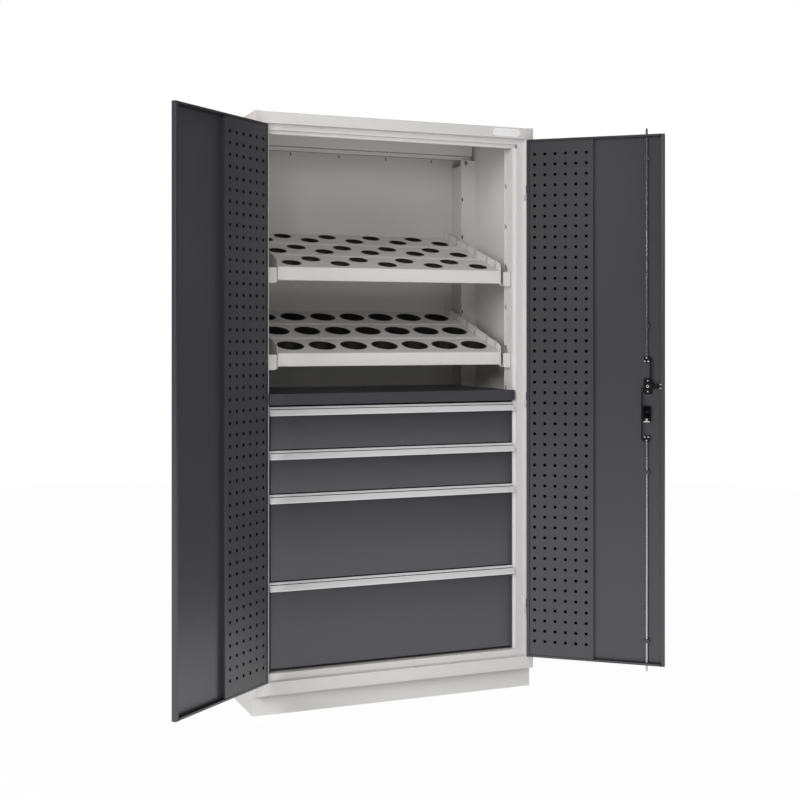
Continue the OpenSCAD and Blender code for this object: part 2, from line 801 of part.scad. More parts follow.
// A channel lying along Y: a web at x1 and two lips that reach in to x0, over half height h.
module channel(x0, x1, h, y0, y1, z) {
    block([x1 - 1.4, y0, z - h], [x1, y1, z + h]);
    block([x0, y0, z + h - 1.4], [x1, y1, z + h]);
    block([x0, y0, z - h], [x1, y1, z - h + 1.4]);
}

module block_runners() {
    x1 = block_hw - sheet_t - fit;
    color(ZINC) place() both() for (i = [0 : 3])
        channel(box_hw + 1.4, x1, runner_h, runner_y, runner_y + runner_len - 7, runner_z(i));
}

module drawer_carriers(i) {
    color(ZINC) place() both()
        channel(box_hw + 2.4, box_hw + 9, runner_h - 1.7, runner_y, runner_y + runner_len - 7, runner_z(i));
}

module drawer_slides(i) {
    x0 = box_hw + fit;
    y0 = runner_y;
    y1 = runner_y + runner_len - 2;
    z = runner_z(i);
    h = runner_h - 3.4;
    color(ZINC) place() both() {
        block([x0, y0, z - h], [x0 + 1.4, y1, z + h]);
        block([x0, y0, z - h], [x0 + 6, y1, z - h + 1.4]);
        block([x0, y0, z + h - 1.4], [x0 + 6, y1, z + h]);
    }
}

// A drawer body: floor, back, sides and front wall.
module drawer_box(i) {
    y0 = front_y + front_t + fit;
    y1 = runner_y + runner_len;
    z0 = low_z(i) + 12;
    z1 = top_z(i) - 26;
    color(DARK) place() difference() {
        block([-box_hw, y0, z0], [box_hw, y1, z1]);
        block([-box_hw + drawer_sheet, y0 + drawer_sheet, z0 + drawer_sheet],
            [box_hw - drawer_sheet, y1 - drawer_sheet, z1 + over]);
    }
}

// A folded drawer front whose lips at the back lie on the front wall of the drawer body.
module drawer_front(i) {
    t = drawer_sheet;
    z0 = low_z(i) + front_gap;
    z1 = top_z(i) - 1;
    y1 = front_y + front_t;
    color(DARK) place() difference() {
        block([-front_hw, front_y, z0], [front_hw, y1, z1]);
        block([-front_hw + t, front_y + t, z0 + t], [front_hw - t, y1 - t, z1 - t]);
        block([-front_hw + front_lip, y1 - t - over, z0 + front_lip],
            [front_hw - front_lip, y1 + over, z1 - front_lip]);
    }
}

// The outline of a handle in Y and Z from its upper edge: a back leg, a top and a sloping grip.
module handle_outline() {
    y0 = handle_y;
    y1 = front_y;
    polygon([[y1, 0], [y1 - 4, 0], [y0, -handle_h + 4.5], [y0, -handle_h], [y0 + 2.5, -handle_h],
        [y0 + 2.5, -handle_h + 4], [y1 - 3.5, -4], [y1 - 2, -4], [y1 - 2, -handle_h], [y1, -handle_h]]);
}

// The outline of a handle's end cap.
module cap_outline() {
    y0 = handle_y;
    y1 = front_y;
    polygon([[y1, 0], [y1 - 4, 0], [y0, -handle_h + 4.5], [y0, -handle_h], [y1, -handle_h]]);
}

module drawer_handle(i) {
    x1 = block_hw;
    z = top_z(i);
    color(ALU) place() translate([0, 0, z]) {
        along_x(-x1 + 3.1, x1 - 3.1) handle_outline();
        both() along_x(x1 - 3, x1) cap_outline();
    }
}

// Doors. Each door is drawn shut and turned open about its hinge line.

module open_right() {
    place() translate([hinge_x, hinge_y, 0]) rotate([0, 0, door_open])
        translate([-hinge_x, -hinge_y, 0]) children();
}

// The door pan with its lips, corner notches, hinge barrels and their tabs.
module leaf() {
    t = door_sheet;
    difference() {
        union() {
            difference() {
                block([leaf_x0, leaf_y0, leaf_z0], [leaf_x1, leaf_y1, leaf_z1]);
                block([leaf_x0 + t, leaf_y0 + t, leaf_z0 + t], [leaf_x1 - t, leaf_y1 - t, leaf_z1 - t]);
                block([leaf_x0 + lip_free, leaf_y0 + door_t / 2, leaf_z0 + lip_end],
                    [leaf_x1 - lip_hinge, leaf_y1 + over, leaf_z1 - lip_end]);
                for (z = [leaf_z0 - over, leaf_z1 - 4])
                    block([leaf_x0 + lip_free, leaf_y1 - 7, z],
                        [leaf_x0 + lip_free + 5, leaf_y1 + over, z + 4 + over]);
            }
            for (z = hinge_z) {
                translate([hinge_x, hinge_y, z + 0.4]) cylinder(h = hinge_len, r = hinge_barrel_r);
                block([leaf_x1 - 26, leaf_y0 - 1.5, z + 0.4], [leaf_x1, leaf_y0 + 0.2, z + hinge_len]);
                block([leaf_x1 - 6, hinge_y, z + 0.4],
                    [hinge_x - hinge_pin_r - 0.6, leaf_y0 + 0.2, z + hinge_len]);
            }
        }
        for (z = hinge_z)
            translate([hinge_x, hinge_y, z - over])
                cylinder(h = hinge_len + 2 + over, r = hinge_pin_r + hinge_clear);
    }
}

// The perforated panel: a shallow pan with square holes that fills the space between the door lips.
module perforated_panel() {
    t = door_sheet;
    y0 = leaf_y0 + t;
    x0 = perf_x0 - perf_margin;
    x1 = perf_x1;
    z0 = leaf_z0 + lip_end + perf_gap;
    z1 = leaf_z1 - lip_end - perf_gap;
    along_y(perf_y1 - t, perf_y1) difference() {
        rect([x0, z0], [x1, z1]);
        for (i = [0 : perf_cols - 1], j = [0 : perf_rows - 1])
            translate([perf_x0 + (i + 0.5) * perf_pitch, perf_z0 + (j + 0.5) * perf_pitch])
                square(perf_hole, center = true);
    }
    block([x0, y0, z0], [x0 + t, perf_y1, z1]);
    block([x1 - t, y0, z0], [x1, perf_y1, z1]);
    block([x0, y0, z0], [x1, perf_y1, z0 + t]);
    block([x0, y0, z1 - t], [x1, perf_y1, z1]);
}

module door_right() {
    color(DARK) open_right() difference() {
        leaf();
        for (z = [leaf_z0 - over, leaf_z1 - door_sheet - over])
            translate([rod_x, rod_y, z]) cylinder(h = door_sheet + 2 * over, r = rod_r + 0.6);
        bar_y(lock_x, lock_z, leaf_y0 - over, leaf_y0 + door_sheet + over, spindle_r + 0.5);
        bar_y(plug_x, plug_z, leaf_y0 - over, leaf_y0 + door_sheet + over, plug_r + 0.5);
    }
}

module door_left() {
    color(DARK) mirror([1, 0, 0]) open_right() leaf();
}

module panel_right() {
    color(DARK) open_right() perforated_panel();
}

module panel_left() {
    color(DARK) mirror([1, 0, 0]) open_right() perforated_panel();
}

// Lock on the right door

// The case around the spindle and the box around the lock cylinder.
module lock_case() {
    y0 = leaf_y0 + door_sheet;
    color(BLACK) open_right() {
        difference() {
            block([lock_x - 15, y0, lock_z - 28], [lock_x + 15, case_y1, lock_z + 28]);
            bar_y(lock_x, lock_z, y0 - over, case_y1 + over, spindle_r + 0.05);
            for (s = [-1, 1]) bar_y(lock_x, lock_z + s * 19, case_y1 - 6, case_y1 + over, 2);
        }
        difference() {
            block([plug_x - 13, y0, plug_z - 38], [plug_x + 14, link_y1, plug_z + 21]);
            bar_y(plug_x, plug_z, y0 - over, link_y1 + over, plug_r + 0.05);
        }
    }
}

// The guides of the rods and the screws of the case.
module lock_fixings() {
    y0 = leaf_y0 + door_sheet;
    guides = [rod_low_z + guide_tip_d, rod_foot_low - guide_foot_d, rod_foot_up + guide_foot_d,
        rod_top_z - guide_tip_d];
    color(ZINC) open_right() {
        for (z = guides)
            difference() {
                block([rod_x - 9, y0, z - 7], [rod_x + 9, rod_y + rod_r + 1.5, z + 7]);
                translate([rod_x, rod_y, z - 7 - over]) cylinder(h = 14 + 2 * over, r = rod_r + 0.1);
            }
        for (s = [-1, 1]) {
            bar_y(lock_x, lock_z + s * 19, case_y1 - 5, case_y1, 1.9);
            bar_y(lock_x, lock_z + s * 19, case_y1, case_y1 + 0.4, 3.4);
        }
        // Small bright clip at the foot of the cylinder box
        block([plug_x - 11, link_y1, plug_z - 37.5], [plug_x + 11, link_y1 + 1, plug_z - 33.5]);
        block([plug_x - 3, link_y1, plug_z - 33.6], [plug_x + 3, link_y1 + 1, plug_z - 25]);
    }
}

// The lever outside the door with its hub and the spindle through the case.
module lock_handle() {
    color(BLACK) open_right() {
        bar_y(lock_x, lock_z, -2, cam_y0, spindle_r);
        bar_y(lock_x, lock_z, -14, leaf_y0 - 0.5, 12);
        block([lock_x - 8, -22, lock_z - lever_len], [lock_x + 8, -13, lock_z + 12]);
    }
}

// The cam on the inner end of the spindle, with its two pins and the tongue.
module lock_cam() {
    color(ZINC) open_right() {
        bar_y(lock_x, lock_z, cam_y0, cam_y1, cam_r);
        bar_y(lock_x - pin_off, lock_z + pin_off, cam_y1 - 0.5, link_y1 + 0.8, cam_pin_r);
        bar_y(lock_x + pin_off, lock_z - pin_off, cam_y1 - 0.5, link_y1 + 0.8, cam_pin_r);
        block([lock_x - tongue_len, cam_y0, lock_z - 10], [lock_x, cam_y1, lock_z + 10]);
    }
}

// The lock cylinder's plug, with its cross bar at the inner end.
module lock_plug() {
    color(ZINC) open_right() {
        bar_y(plug_x, plug_z, leaf_y0, link_y1 + 0.5, plug_r);
        block([plug_x - 9, link_y1 + 0.3, plug_z - 2], [plug_x + 9, link_y1 + 1.8, plug_z + 2]);
    }
}

// A slotted head that a cam pin drives, on the side of the spindle given by s.
module link_head(s, z) {
    x_in = lock_x + s * head_in;
    x_out = lock_x + s * head_out;
    slot_in = lock_x + s * (pin_off - cam_pin_r - 0.8);
    slot_out = lock_x + s * (cam_pin_d + cam_pin_r + 0.8);
    difference() {
        block([min(x_in, x_out), link_y0, z - 6], [max(x_in, x_out), link_y1, z + 6]);
        block([min(slot_in, slot_out), link_y0 - over, z - cam_pin_r - 0.8],
            [max(slot_in, slot_out), link_y1 + over, z + cam_pin_r + 0.8]);
    }
}

// The upper rod with its foot, its flat link and the slotted head.
module rod_upper() {
    z_pin = lock_z + pin_off;
    x0 = lock_x - 14.5;
    color(ZINC) open_right() {
        translate([rod_x, rod_y, rod_foot_up]) cylinder(h = rod_top_z - rod_foot_up, r = rod_r);
        block([x0, rod_y - rod_r, rod_foot_up], [rod_x + rod_r, link_y1, rod_foot_up + 6]);
        block([rod_x - 9, rod_y - rod_r, rod_foot_up - foot_h], [rod_x + 9, link_y1, rod_foot_up + foot_h]);
        block([x0, link_y0, z_pin + 5], [x0 + 6, link_y1, rod_foot_up + 1]);
        link_head(-1, z_pin);
    }
}

// The lower rod with its foot, its flat link beside the cylinder box and the slotted head.
module rod_lower() {
    z_pin = lock_z - pin_off;
    x1 = lock_x + head_out;
    color(ZINC) open_right() {
        translate([rod_x, rod_y, rod_low_z]) cylinder(h = rod_foot_low - rod_low_z, r = rod_r);
        block([rod_x - rod_r, rod_y - rod_r, rod_foot_low - 6], [x1, link_y1, rod_foot_low]);
        block([rod_x - 9, rod_y - rod_r, rod_foot_low - foot_h], [rod_x + 9, link_y1, rod_foot_low + foot_h]);
        block([x1 - 4.8, link_y0, rod_foot_low - 1], [x1, link_y1, z_pin - 5]);
        link_head(1, z_pin);
    }
}

side_left();
side_right();
back_panel();
roof();
header();
posts_front();
posts_rear();
rear_beam();
base_frame();
plinth();
name_plate();
hinge_halves();
frame_bolts();
upper_arms();
lower_arms();
rail_clips();
upper_rail(0);  // upper_rail_front
upper_rail(1);  // upper_rail_middle
upper_rail(2);  // upper_rail_rear
lower_rail(0);  // lower_rail_front
lower_rail(1);  // lower_rail_middle
lower_rail(2);  // lower_rail_rear
upper_sleeves();
lower_sleeves();
block_cover();
block_side_left();
block_side_right();
block_back();
block_runners();
drawer_box(0);  // drawer_1_box
drawer_front(0);  // drawer_1_front
drawer_handle(0);  // drawer_1_handle
drawer_slides(0);  // drawer_1_slides
drawer_carriers(0);  // drawer_1_carriers
drawer_box(1);  // drawer_2_box
drawer_front(1);  // drawer_2_front
drawer_handle(1);  // drawer_2_handle
drawer_slides(1);  // drawer_2_slides
drawer_carriers(1);  // drawer_2_carriers
drawer_box(2);  // drawer_3_box
drawer_front(2);  // drawer_3_front
drawer_handle(2);  // drawer_3_handle
drawer_slides(2);  // drawer_3_slides
drawer_carriers(2);  // drawer_3_carriers
drawer_box(3);  // drawer_4_box
drawer_front(3);  // drawer_4_front
drawer_handle(3);  // drawer_4_handle
drawer_slides(3);  // drawer_4_slides
drawer_carriers(3);  // drawer_4_carriers
door_left();
panel_left();
door_right();
panel_right();
lock_case();
lock_fixings();
lock_handle();
lock_cam();
lock_plug();
rod_upper();
rod_lower();
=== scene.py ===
"""Looks of a tall tool cabinet: perforated doors, tilted socket tiers and a block of drawers.

Sizes are in millimetres from the front face of the cabinet, as in the part's source. X runs to the
right, Y to the back and Z up. A piece is turned into metres in the cabinet's own frame at the end.
"""
import logging
import math
from dataclasses import dataclass, field
from enum import Enum
from typing import Callable, Optional, Sequence

import bmesh
import bpy
from mathutils import Matrix, Vector


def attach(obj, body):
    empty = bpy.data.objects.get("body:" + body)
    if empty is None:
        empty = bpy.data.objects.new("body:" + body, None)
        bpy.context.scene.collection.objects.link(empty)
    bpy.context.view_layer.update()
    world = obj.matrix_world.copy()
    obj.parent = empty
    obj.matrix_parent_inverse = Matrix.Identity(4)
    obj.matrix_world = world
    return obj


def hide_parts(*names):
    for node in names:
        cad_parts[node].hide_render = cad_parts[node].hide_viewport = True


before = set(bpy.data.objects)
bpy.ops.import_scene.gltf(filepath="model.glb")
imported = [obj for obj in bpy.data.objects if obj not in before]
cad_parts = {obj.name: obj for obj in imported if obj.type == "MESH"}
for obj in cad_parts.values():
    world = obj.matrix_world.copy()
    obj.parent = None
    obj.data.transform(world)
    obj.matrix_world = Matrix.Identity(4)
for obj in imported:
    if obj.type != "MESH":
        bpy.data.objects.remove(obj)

log = logging.getLogger("cabinet")

Point = tuple[float, float]
Spot = tuple[float, float, float]
Outline = list[Point]
Hole = tuple[float, float, float, float, bool]

MM = 0.001
FRONT_OFFSET = 300.0
BEVEL_ANGLE = math.radians(50)
SHARP_ANGLE = math.radians(32)
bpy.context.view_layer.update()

STAY = Matrix.Identity(4)
MIRROR = Matrix.Scale(-1.0, 4, (1.0, 0.0, 0.0))
TO_CABINET = Matrix.Scale(MM, 4) @ Matrix.Translation((0.0, -FRONT_OFFSET, 0.0))
FACING = Matrix.Rotation(math.radians(90), 4, "X")
ACROSS = Matrix.Rotation(math.radians(90), 4, "Z") @ FACING
SIDES = (("right", STAY), ("left", MIRROR))
SIGNS = (1.0, -1.0)


# Shader maths


class Val:
    """A shader socket that takes part in Python expressions."""

    def __init__(self, shade: "Shade", socket: bpy.types.NodeSocket) -> None:
        """Keeps the socket and the material it belongs to."""
        self.shade = shade
        self.socket = socket

    def _math(self, operation: str, other: "Val | float") -> "Val":
        """Adds one Math node.

        Args:
            operation: The node's operation.
            other: The second value.

        Returns:
            The node's result.
        """
        return self.shade.node("ShaderNodeMath", {"operation": operation}, {0: self, 1: other})

    def __add__(self, other: "Val | float") -> "Val":
        """Adds two values."""
        return self._math("ADD", other)

    def __sub__(self, other: "Val | float") -> "Val":
        """Takes one value from the other."""
        return self._math("SUBTRACT", other)

    def __mul__(self, other: "Val | float") -> "Val":
        """Multiplies two values."""
        return self._math("MULTIPLY", other)

    def clamp(self) -> "Val":
        """Keeps this value between 0 and 1."""
        return self.shade.node("ShaderNodeClamp", {}, {"Value": self})


class Shade:
    """One material while it is put together."""

    def __init__(self, name: str) -> None:
        """Starts an empty material with its output node."""
        self.material = bpy.data.materials.new(name)
        self.material.use_nodes = True
        self.tree = self.material.node_tree
        self.tree.nodes.clear()
        self.out = self.tree.nodes.new("ShaderNodeOutputMaterial")

    def node(self, kind: str, settings: dict[str, object], sockets: dict[object, object],
             output: int | str = 0) -> Val:
        """Adds any node.

        Args:
            kind: The node's type.
            settings: Its settings, set before the sockets.
            sockets: Values or links by socket name or number.
            output: The output that is given back.

        Returns:
            The chosen output.
        """
        made = self.tree.nodes.new(kind)
        for key, value in settings.items():
            setattr(made, key, value)
        for key, value in sockets.items():
            if isinstance(value, Val):
                self.tree.links.new(value.socket, made.inputs[key])
            else:
                made.inputs[key].default_value = value
        return Val(self, made.outputs[output])

    def place(self) -> Val:
        """Gives the object coordinates, in metres."""
        return self.node("ShaderNodeTexCoord", {}, {}, "Object")

    def noise(self, scale: float, detail: float = 2.0, stretch: Optional[Spot] = None,
              rough: float = 0.5) -> Val:
        """Gives noise about 0.5 on the object coordinates.

        Args:
            scale: Cells per metre.
            detail: Octaves.
            stretch: Factor on the scale along each axis.
            rough: Weight of the finer octaves.

        Returns:
            The noise.
        """
        where = self.place()
        if stretch:
            where = self.node("ShaderNodeMapping", {}, {"Vector": where, "Scale": stretch})
        return self.node("ShaderNodeTexNoise", {}, {"Vector": where, "Scale": scale,
                                                    "Detail": detail, "Roughness": rough})

    def blend(self, factor: Val, low: "Val | Spot", high: "Val | Spot") -> Val:
        """Mixes two colours by a factor.

        Args:
            factor: 0 gives the first colour and 1 the second.
            low: The first colour.
            high: The second colour.

        Returns:
            The mixed colour.
        """
        ends = {key: value if isinstance(value, Val) else (*value, 1.0)
                for key, value in ((6, low), (7, high))}
        return self.node("ShaderNodeMix", {"data_type": "RGBA"}, {0: factor, **ends}, 2)

    def bump(self, height: Val, depth: float, strength: float, under: Optional[Val] = None) -> Val:
        """Turns a height into a normal.

        Args:
            height: The height, from 0 to 1.
            depth: Its full depth in metres.
            strength: The strength of the bump.
            under: The normal of a larger bump that it lies on.

        Returns:
            The normal.
        """
        sockets = {"Height": height, "Distance": depth, "Strength": strength}
        if under:
            sockets["Normal"] = under
        return self.node("ShaderNodeBump", {}, sockets)

    def coat(self, colour: Val, rough: Val, normal: Val, shine: float = 0.5,
             metal: float = 0.0) -> bpy.types.Material:
        """Closes the material with a Principled shader.

        Args:
            colour: Its base colour.
            rough: Its roughness.
            normal: Its normal.
            shine: Its specular level.
            metal: How metallic it is.

        Returns:
            The finished material.
        """
        shader = self.node("ShaderNodeBsdfPrincipled", {}, {
            "Specular IOR Level": shine, "Metallic": metal,
            "Base Color": colour, "Roughness": rough, "Normal": normal})
        self.tree.links.new(shader.socket, self.out.inputs[0])
        return self.material


# Finishes


@dataclass(frozen=True)
class Coating:
    """What every finish has: a name, a colour and a roughness."""

    name: str
    colour: Spot
    gloss: float

    def tint(self, factor: float, lift: float = 0.0) -> Spot:
        """Gives the colour times a factor, plus a lift."""
        return tuple(min(1.0, c * factor + lift) for c in self.colour)


@dataclass(frozen=True)
class PowderCoat(Coating):
    """Baked powder on sheet steel: a fine orange peel on the slow waviness of the sheet."""

    drift: float = 0.04
    speck: float = 0.0
    shine: float = 0.5
    grain: float = 620.0
    peel_depth: float = 0.00006
    wave_depth: float = 0.0009

    def make(self) -> bpy.types.Material:
        """Builds the material."""
        shade = Shade(self.name)
        slow = shade.noise(2.3, 3.0)
        cloud = shade.noise(38.0)
        peel = shade.noise(self.grain, rough=0.6)
        colour = shade.blend(slow * 0.7 + cloud * 0.3, self.tint(1 - self.drift), self.tint(1 + self.drift))
        if self.speck:
            fleck = (shade.noise(self.grain * 1.9, 1.0) - 0.62).clamp() * self.speck
            colour = shade.blend(fleck, colour, self.tint(2.6, 0.02))
        rough = (cloud - 0.5) * 0.10 + (peel - 0.5) * 0.08 + self.gloss
        flat = shade.bump(shade.noise(5.5, 1.0), self.wave_depth, 0.35)
        return shade.coat(colour, rough, shade.bump(peel, self.peel_depth, 0.8, flat), self.shine)


@dataclass(frozen=True)
class PlatedSteel(Coating):
    """Zinc-plated steel with faint crystal patches."""

    metal: float = 0.45
    crystals: float = 190.0

    def make(self) -> bpy.types.Material:
        """Builds the material."""
        shade = Shade(self.name)
        cells = shade.node("ShaderNodeTexVoronoi", {}, {"Vector": shade.place(), "Scale": self.crystals})
        haze = shade.noise(60.0, 3.0)
        colour = shade.blend(haze * 0.6 + cells * 0.5, self.tint(0.86), self.colour)
        rough = (haze - 0.5) * 0.22 + cells * 0.08 + self.gloss
        return shade.coat(colour, rough, shade.bump(shade.noise(900.0), 0.00003, 0.6), metal=self.metal)


@dataclass(frozen=True)
class DrawnAluminium(Coating):
    """Anodised aluminium with drawing lines along X."""

    metal: float = 0.3
    along: Spot = (0.012, 1.0, 1.0)

    def make(self) -> bpy.types.Material:
        """Builds the material."""
        shade = Shade(self.name)
        lines = shade.noise(950.0, stretch=self.along)
        haze = shade.noise(6.0)
        colour = shade.blend(lines * 0.6 + haze * 0.4, self.tint(0.92), self.colour)
        rough = (lines - 0.5) * 0.12 + (haze - 0.5) * 0.06 + self.gloss
        return shade.coat(colour, rough, shade.bump(lines, 0.00004, 0.5), metal=self.metal)


@dataclass(frozen=True)
class MouldedPlastic(Coating):
    """Moulded plastic with a spark-eroded grain."""

    grain_depth: float = 0.00008

    def make(self) -> bpy.types.Material:
        """Builds the material."""
        shade = Shade(self.name)
        grain = shade.noise(1300.0)
        cloud = shade.noise(45.0)
        colour = shade.blend(cloud, self.tint(0.85), self.tint(1.18))
        rough = (cloud - 0.5) * 0.12 + (grain - 0.5) * 0.1 + self.gloss
        return shade.coat(colour, rough, shade.bump(grain, self.grain_depth, 0.7))


class Finish(Enum):
    """The finishes of the cabinet; each value starts with the record's slot it belongs to."""

    LIGHT = "light_sheet"
    DARK = "dark_sheet"
    ZINC = "zinc"
    HANDLE = "handle_alu"
    SOCKET = "black_plastic"
    LOCK = "lock_black"
    PLATE = "plate_white"
    ROD = "zinc.dark"
    # Black of painted shade: sheets behind holes and slots that stand in for the shade inside them; also the
    # lock cover's own black.
    LINING = "black_plastic.lining"

    @property
    def slot(self) -> str:
        """The record's slot."""
        return self.value.split(".")[0]


class Finishes:
    """Makes each finish once and gives it out."""

    RECIPES = {
        Finish.LIGHT: PowderCoat("light_grey_powder", (0.70, 0.686, 0.672), 0.46, drift=0.02),
        Finish.DARK: PowderCoat("graphite_powder", (0.037, 0.036, 0.042), 0.34, 0.07, 0.3, 0.9),
        Finish.ZINC: PlatedSteel("bright_zinc", (0.74, 0.74, 0.74), 0.25),
        Finish.HANDLE: DrawnAluminium("satin_handle", (0.90, 0.90, 0.90), 0.36),
        Finish.SOCKET: MouldedPlastic("black_sleeve", (0.014, 0.013, 0.013), 0.5),
        Finish.LOCK: PowderCoat("black_lock_coat", (0.007, 0.007, 0.007), 0.42, 0.1, shine=0.2),
        Finish.PLATE: MouldedPlastic("blank_plate", (0.97, 0.97, 0.97), 0.3, 0.00002),
        Finish.ROD: PlatedSteel("drawn_rod_steel", (0.55, 0.55, 0.56), 0.20, 0.95),
        # Painted shade behind holes and slots, and the own black of the lock's cover.
        Finish.LINING: PowderCoat("painted_shade_and_cover_black", (0.0025, 0.0025, 0.0028), 0.8, 0.1, shine=0.05),
    }

    def __init__(self) -> None:
        """Builds every material."""
        self.made = {finish: recipe.make() for finish, recipe in self.RECIPES.items()}

    def dress(self, finish: Finish, *nodes: str) -> None:
        """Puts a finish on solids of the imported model."""
        for node in nodes:
            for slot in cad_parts[node].material_slots:
                slot.material = self.made[finish]


# Geometry Nodes


class Tree:
    """A Geometry Nodes tree while it is put together."""

    def __init__(self, name: str, inputs: dict[str, tuple[str, object]]) -> None:
        """Starts the tree.

        Args:
            name: The tree's name.
            inputs: Socket type and default of each named input.
        """
        self.group = bpy.data.node_groups.new(name, "GeometryNodeTree")
        face = self.group.interface
        face.new_socket("Geometry", in_out="OUTPUT", socket_type="NodeSocketGeometry")
        face.new_socket("Geometry", in_out="INPUT", socket_type="NodeSocketGeometry")
        for label, (kind, value) in inputs.items():
            socket = face.new_socket(label, in_out="INPUT", socket_type="NodeSocket" + kind)
            if value is not None:
                socket.default_value = value
        self.start = self.group.nodes.new("NodeGroupInput")
        self.end = self.group.nodes.new("NodeGroupOutput")

    def given(self, label: str) -> bpy.types.NodeSocket:
        """Gives one of the tree's inputs."""
        return self.start.outputs[label]

    def add(self, kind: str, sockets: dict[object, object],
            output: int | str = 0, **settings: object) -> bpy.types.NodeSocket:
        """Adds a node.

        Args:
            kind: The node's type; without a word in front, it is a node for geometry.
            sockets: Values, links or lists of links by socket name or number.
            output: The output that is given back.
            settings: Its settings.

        Returns:
            The chosen output.
        """
        named = kind.startswith(("ShaderNode", "FunctionNode"))
        made = self.group.nodes.new(kind if named else "GeometryNode" + kind)
        for key, value in settings.items():
            setattr(made, key, value)
        for key, value in sockets.items():
            for one in value if isinstance(value, list) else [value]:
                if isinstance(one, bpy.types.NodeSocket):
                    self.group.links.new(one, made.inputs[key])
                else:
                    made.inputs[key].default_value = one
        return made.outputs[output]

    def close(self, result: bpy.types.NodeSocket) -> None:
        """Ends the tree with real copies in the given material."""
        result = self.add("RealizeInstances", {0: result})
        result = self.add("SetMaterial", {"Geometry": result, "Material": self.given("Material")})
        self.group.links.new(result, self.end.inputs[0])

    def run(self, points: Sequence[Spot], values: dict[str, object],
            notes: dict[str, tuple[str, Sequence[object]]]) -> bpy.types.Mesh:
        """Evaluates the tree on loose points.

        Args:
            points: Where the repeated thing stands.
            values: The tree's inputs by name.
            notes: Type and values of each attribute of the points.

        Returns:
            A plain mesh.
        """
        data = bpy.data.meshes.new("points")
        data.from_pydata([tuple(p) for p in points], [], [])
        for label, (kind, rows) in notes.items():
            store = data.attributes.new(label, kind, "POINT").data
            if kind == "FLOAT_VECTOR":
                store.foreach_set("vector", [c for row in rows for c in row])
            else:
                store.foreach_set("value", rows)
        holder = bpy.data.objects.new("points", data)
        bpy.context.scene.collection.objects.link(holder)
        modifier = holder.modifiers.new("repeat", "NODES")
        modifier.node_group = self.group
        sockets = [item for item in self.group.interface.items_tree if item.in_out == "INPUT"]
        names = {item.name: item.identifier for item in sockets}
        for label, value in values.items():
            modifier[names[label]] = value
        graph = bpy.context.evaluated_depsgraph_get()
        mesh = bpy.data.meshes.new_from_object(holder.evaluated_get(graph), depsgraph=graph)
        holder.modifiers.remove(modifier)
        bpy.data.objects.remove(holder)
        bpy.data.meshes.remove(data)
        return mesh


class Repeats:
    """The two trees of the cabinet: sheets with punched holes, and small parts that repeat."""

    def __init__(self) -> None:
        """Builds both trees."""
        self.punched = self._punched()
        self.copies = self._copies()

    def _punched(self) -> Tree:
        """Builds the tree for a flat sheet in X and Y whose holes stand at loose points."""
        tree = Tree("PunchedSheet", {
            "Width": ("Float", 100.0), "Height": ("Float", 100.0), "Thickness": ("Float", 1.5),
            "Hole Corner": ("Float", 0.08), "Sides": ("Int", 40), "Material": ("Material", None)})
        rectangle = "CurvePrimitiveQuadrilateral"
        edge = tree.add(rectangle, {"Width": tree.given("Width"), "Height": tree.given("Height")},
                        mode="RECTANGLE")
        square = tree.add(rectangle, {"Width": 1.0, "Height": 1.0}, mode="RECTANGLE")
        square = tree.add("FilletCurve", {"Curve": square, "Radius": tree.given("Hole Corner"),
                                          "Count": 3}, mode="POLY")
        disc = tree.add("CurvePrimitiveCircle", {"Resolution": tree.given("Sides"), "Radius": 0.5},
                        mode="RADIUS")
        size = tree.add("InputNamedAttribute", {"Name": "size"}, data_type="FLOAT_VECTOR")
        is_round = tree.add("InputNamedAttribute", {"Name": "round"}, data_type="BOOLEAN")
        is_square = tree.add("FunctionNodeBooleanMath", {0: is_round}, operation="NOT")
        holes = [tree.add("InstanceOnPoints", {"Points": tree.given("Geometry"), "Selection": which,
                                               "Instance": shape, "Scale": size})
                 for which, shape in ((is_square, square), (is_round, disc))]
        holes = tree.add("RealizeInstances", {0: tree.add("JoinGeometry", {0: holes})})
        flat = tree.add("FillCurve", {"Curve": tree.add("JoinGeometry", {0: [edge, holes]})})
        rise = tree.add("ShaderNodeCombineXYZ", {2: tree.given("Thickness")})
        top = tree.add("ExtrudeMesh", {"Mesh": flat, "Offset": rise, "Offset Scale": 1.0,
                                       "Individual": False}, mode="FACES")
        under = tree.add("FlipFaces", {"Mesh": flat})
        whole = tree.add("JoinGeometry", {0: [top, under]})
        tree.close(tree.add("MergeByDistance", {"Geometry": whole, "Distance": 0.001}))
        return tree

    def _copies(self) -> Tree:
        """Builds the tree that sets a small part on loose points."""
        tree = Tree("SmallParts", {"Part": ("Object", None), "Material": ("Material", None)})
        part = tree.add("ObjectInfo", {"Object": tree.given("Part")}, "Geometry")
        turn = tree.add("InputNamedAttribute", {"Name": "turn"}, data_type="FLOAT_VECTOR")
        turn = tree.add("FunctionNodeEulerToRotation", {0: turn})
        tree.close(tree.add("InstanceOnPoints", {"Points": tree.given("Geometry"),
                                                 "Instance": part, "Rotation": turn}))
        return tree


@dataclass
class Workshop:
    """What every sub-assembly is built with."""

    finishes: Finishes
    repeats: Repeats

    def material(self, finish: Finish) -> bpy.types.Material:
        """Gives the material of a finish."""
        return self.finishes.made[finish]


# Mesh making


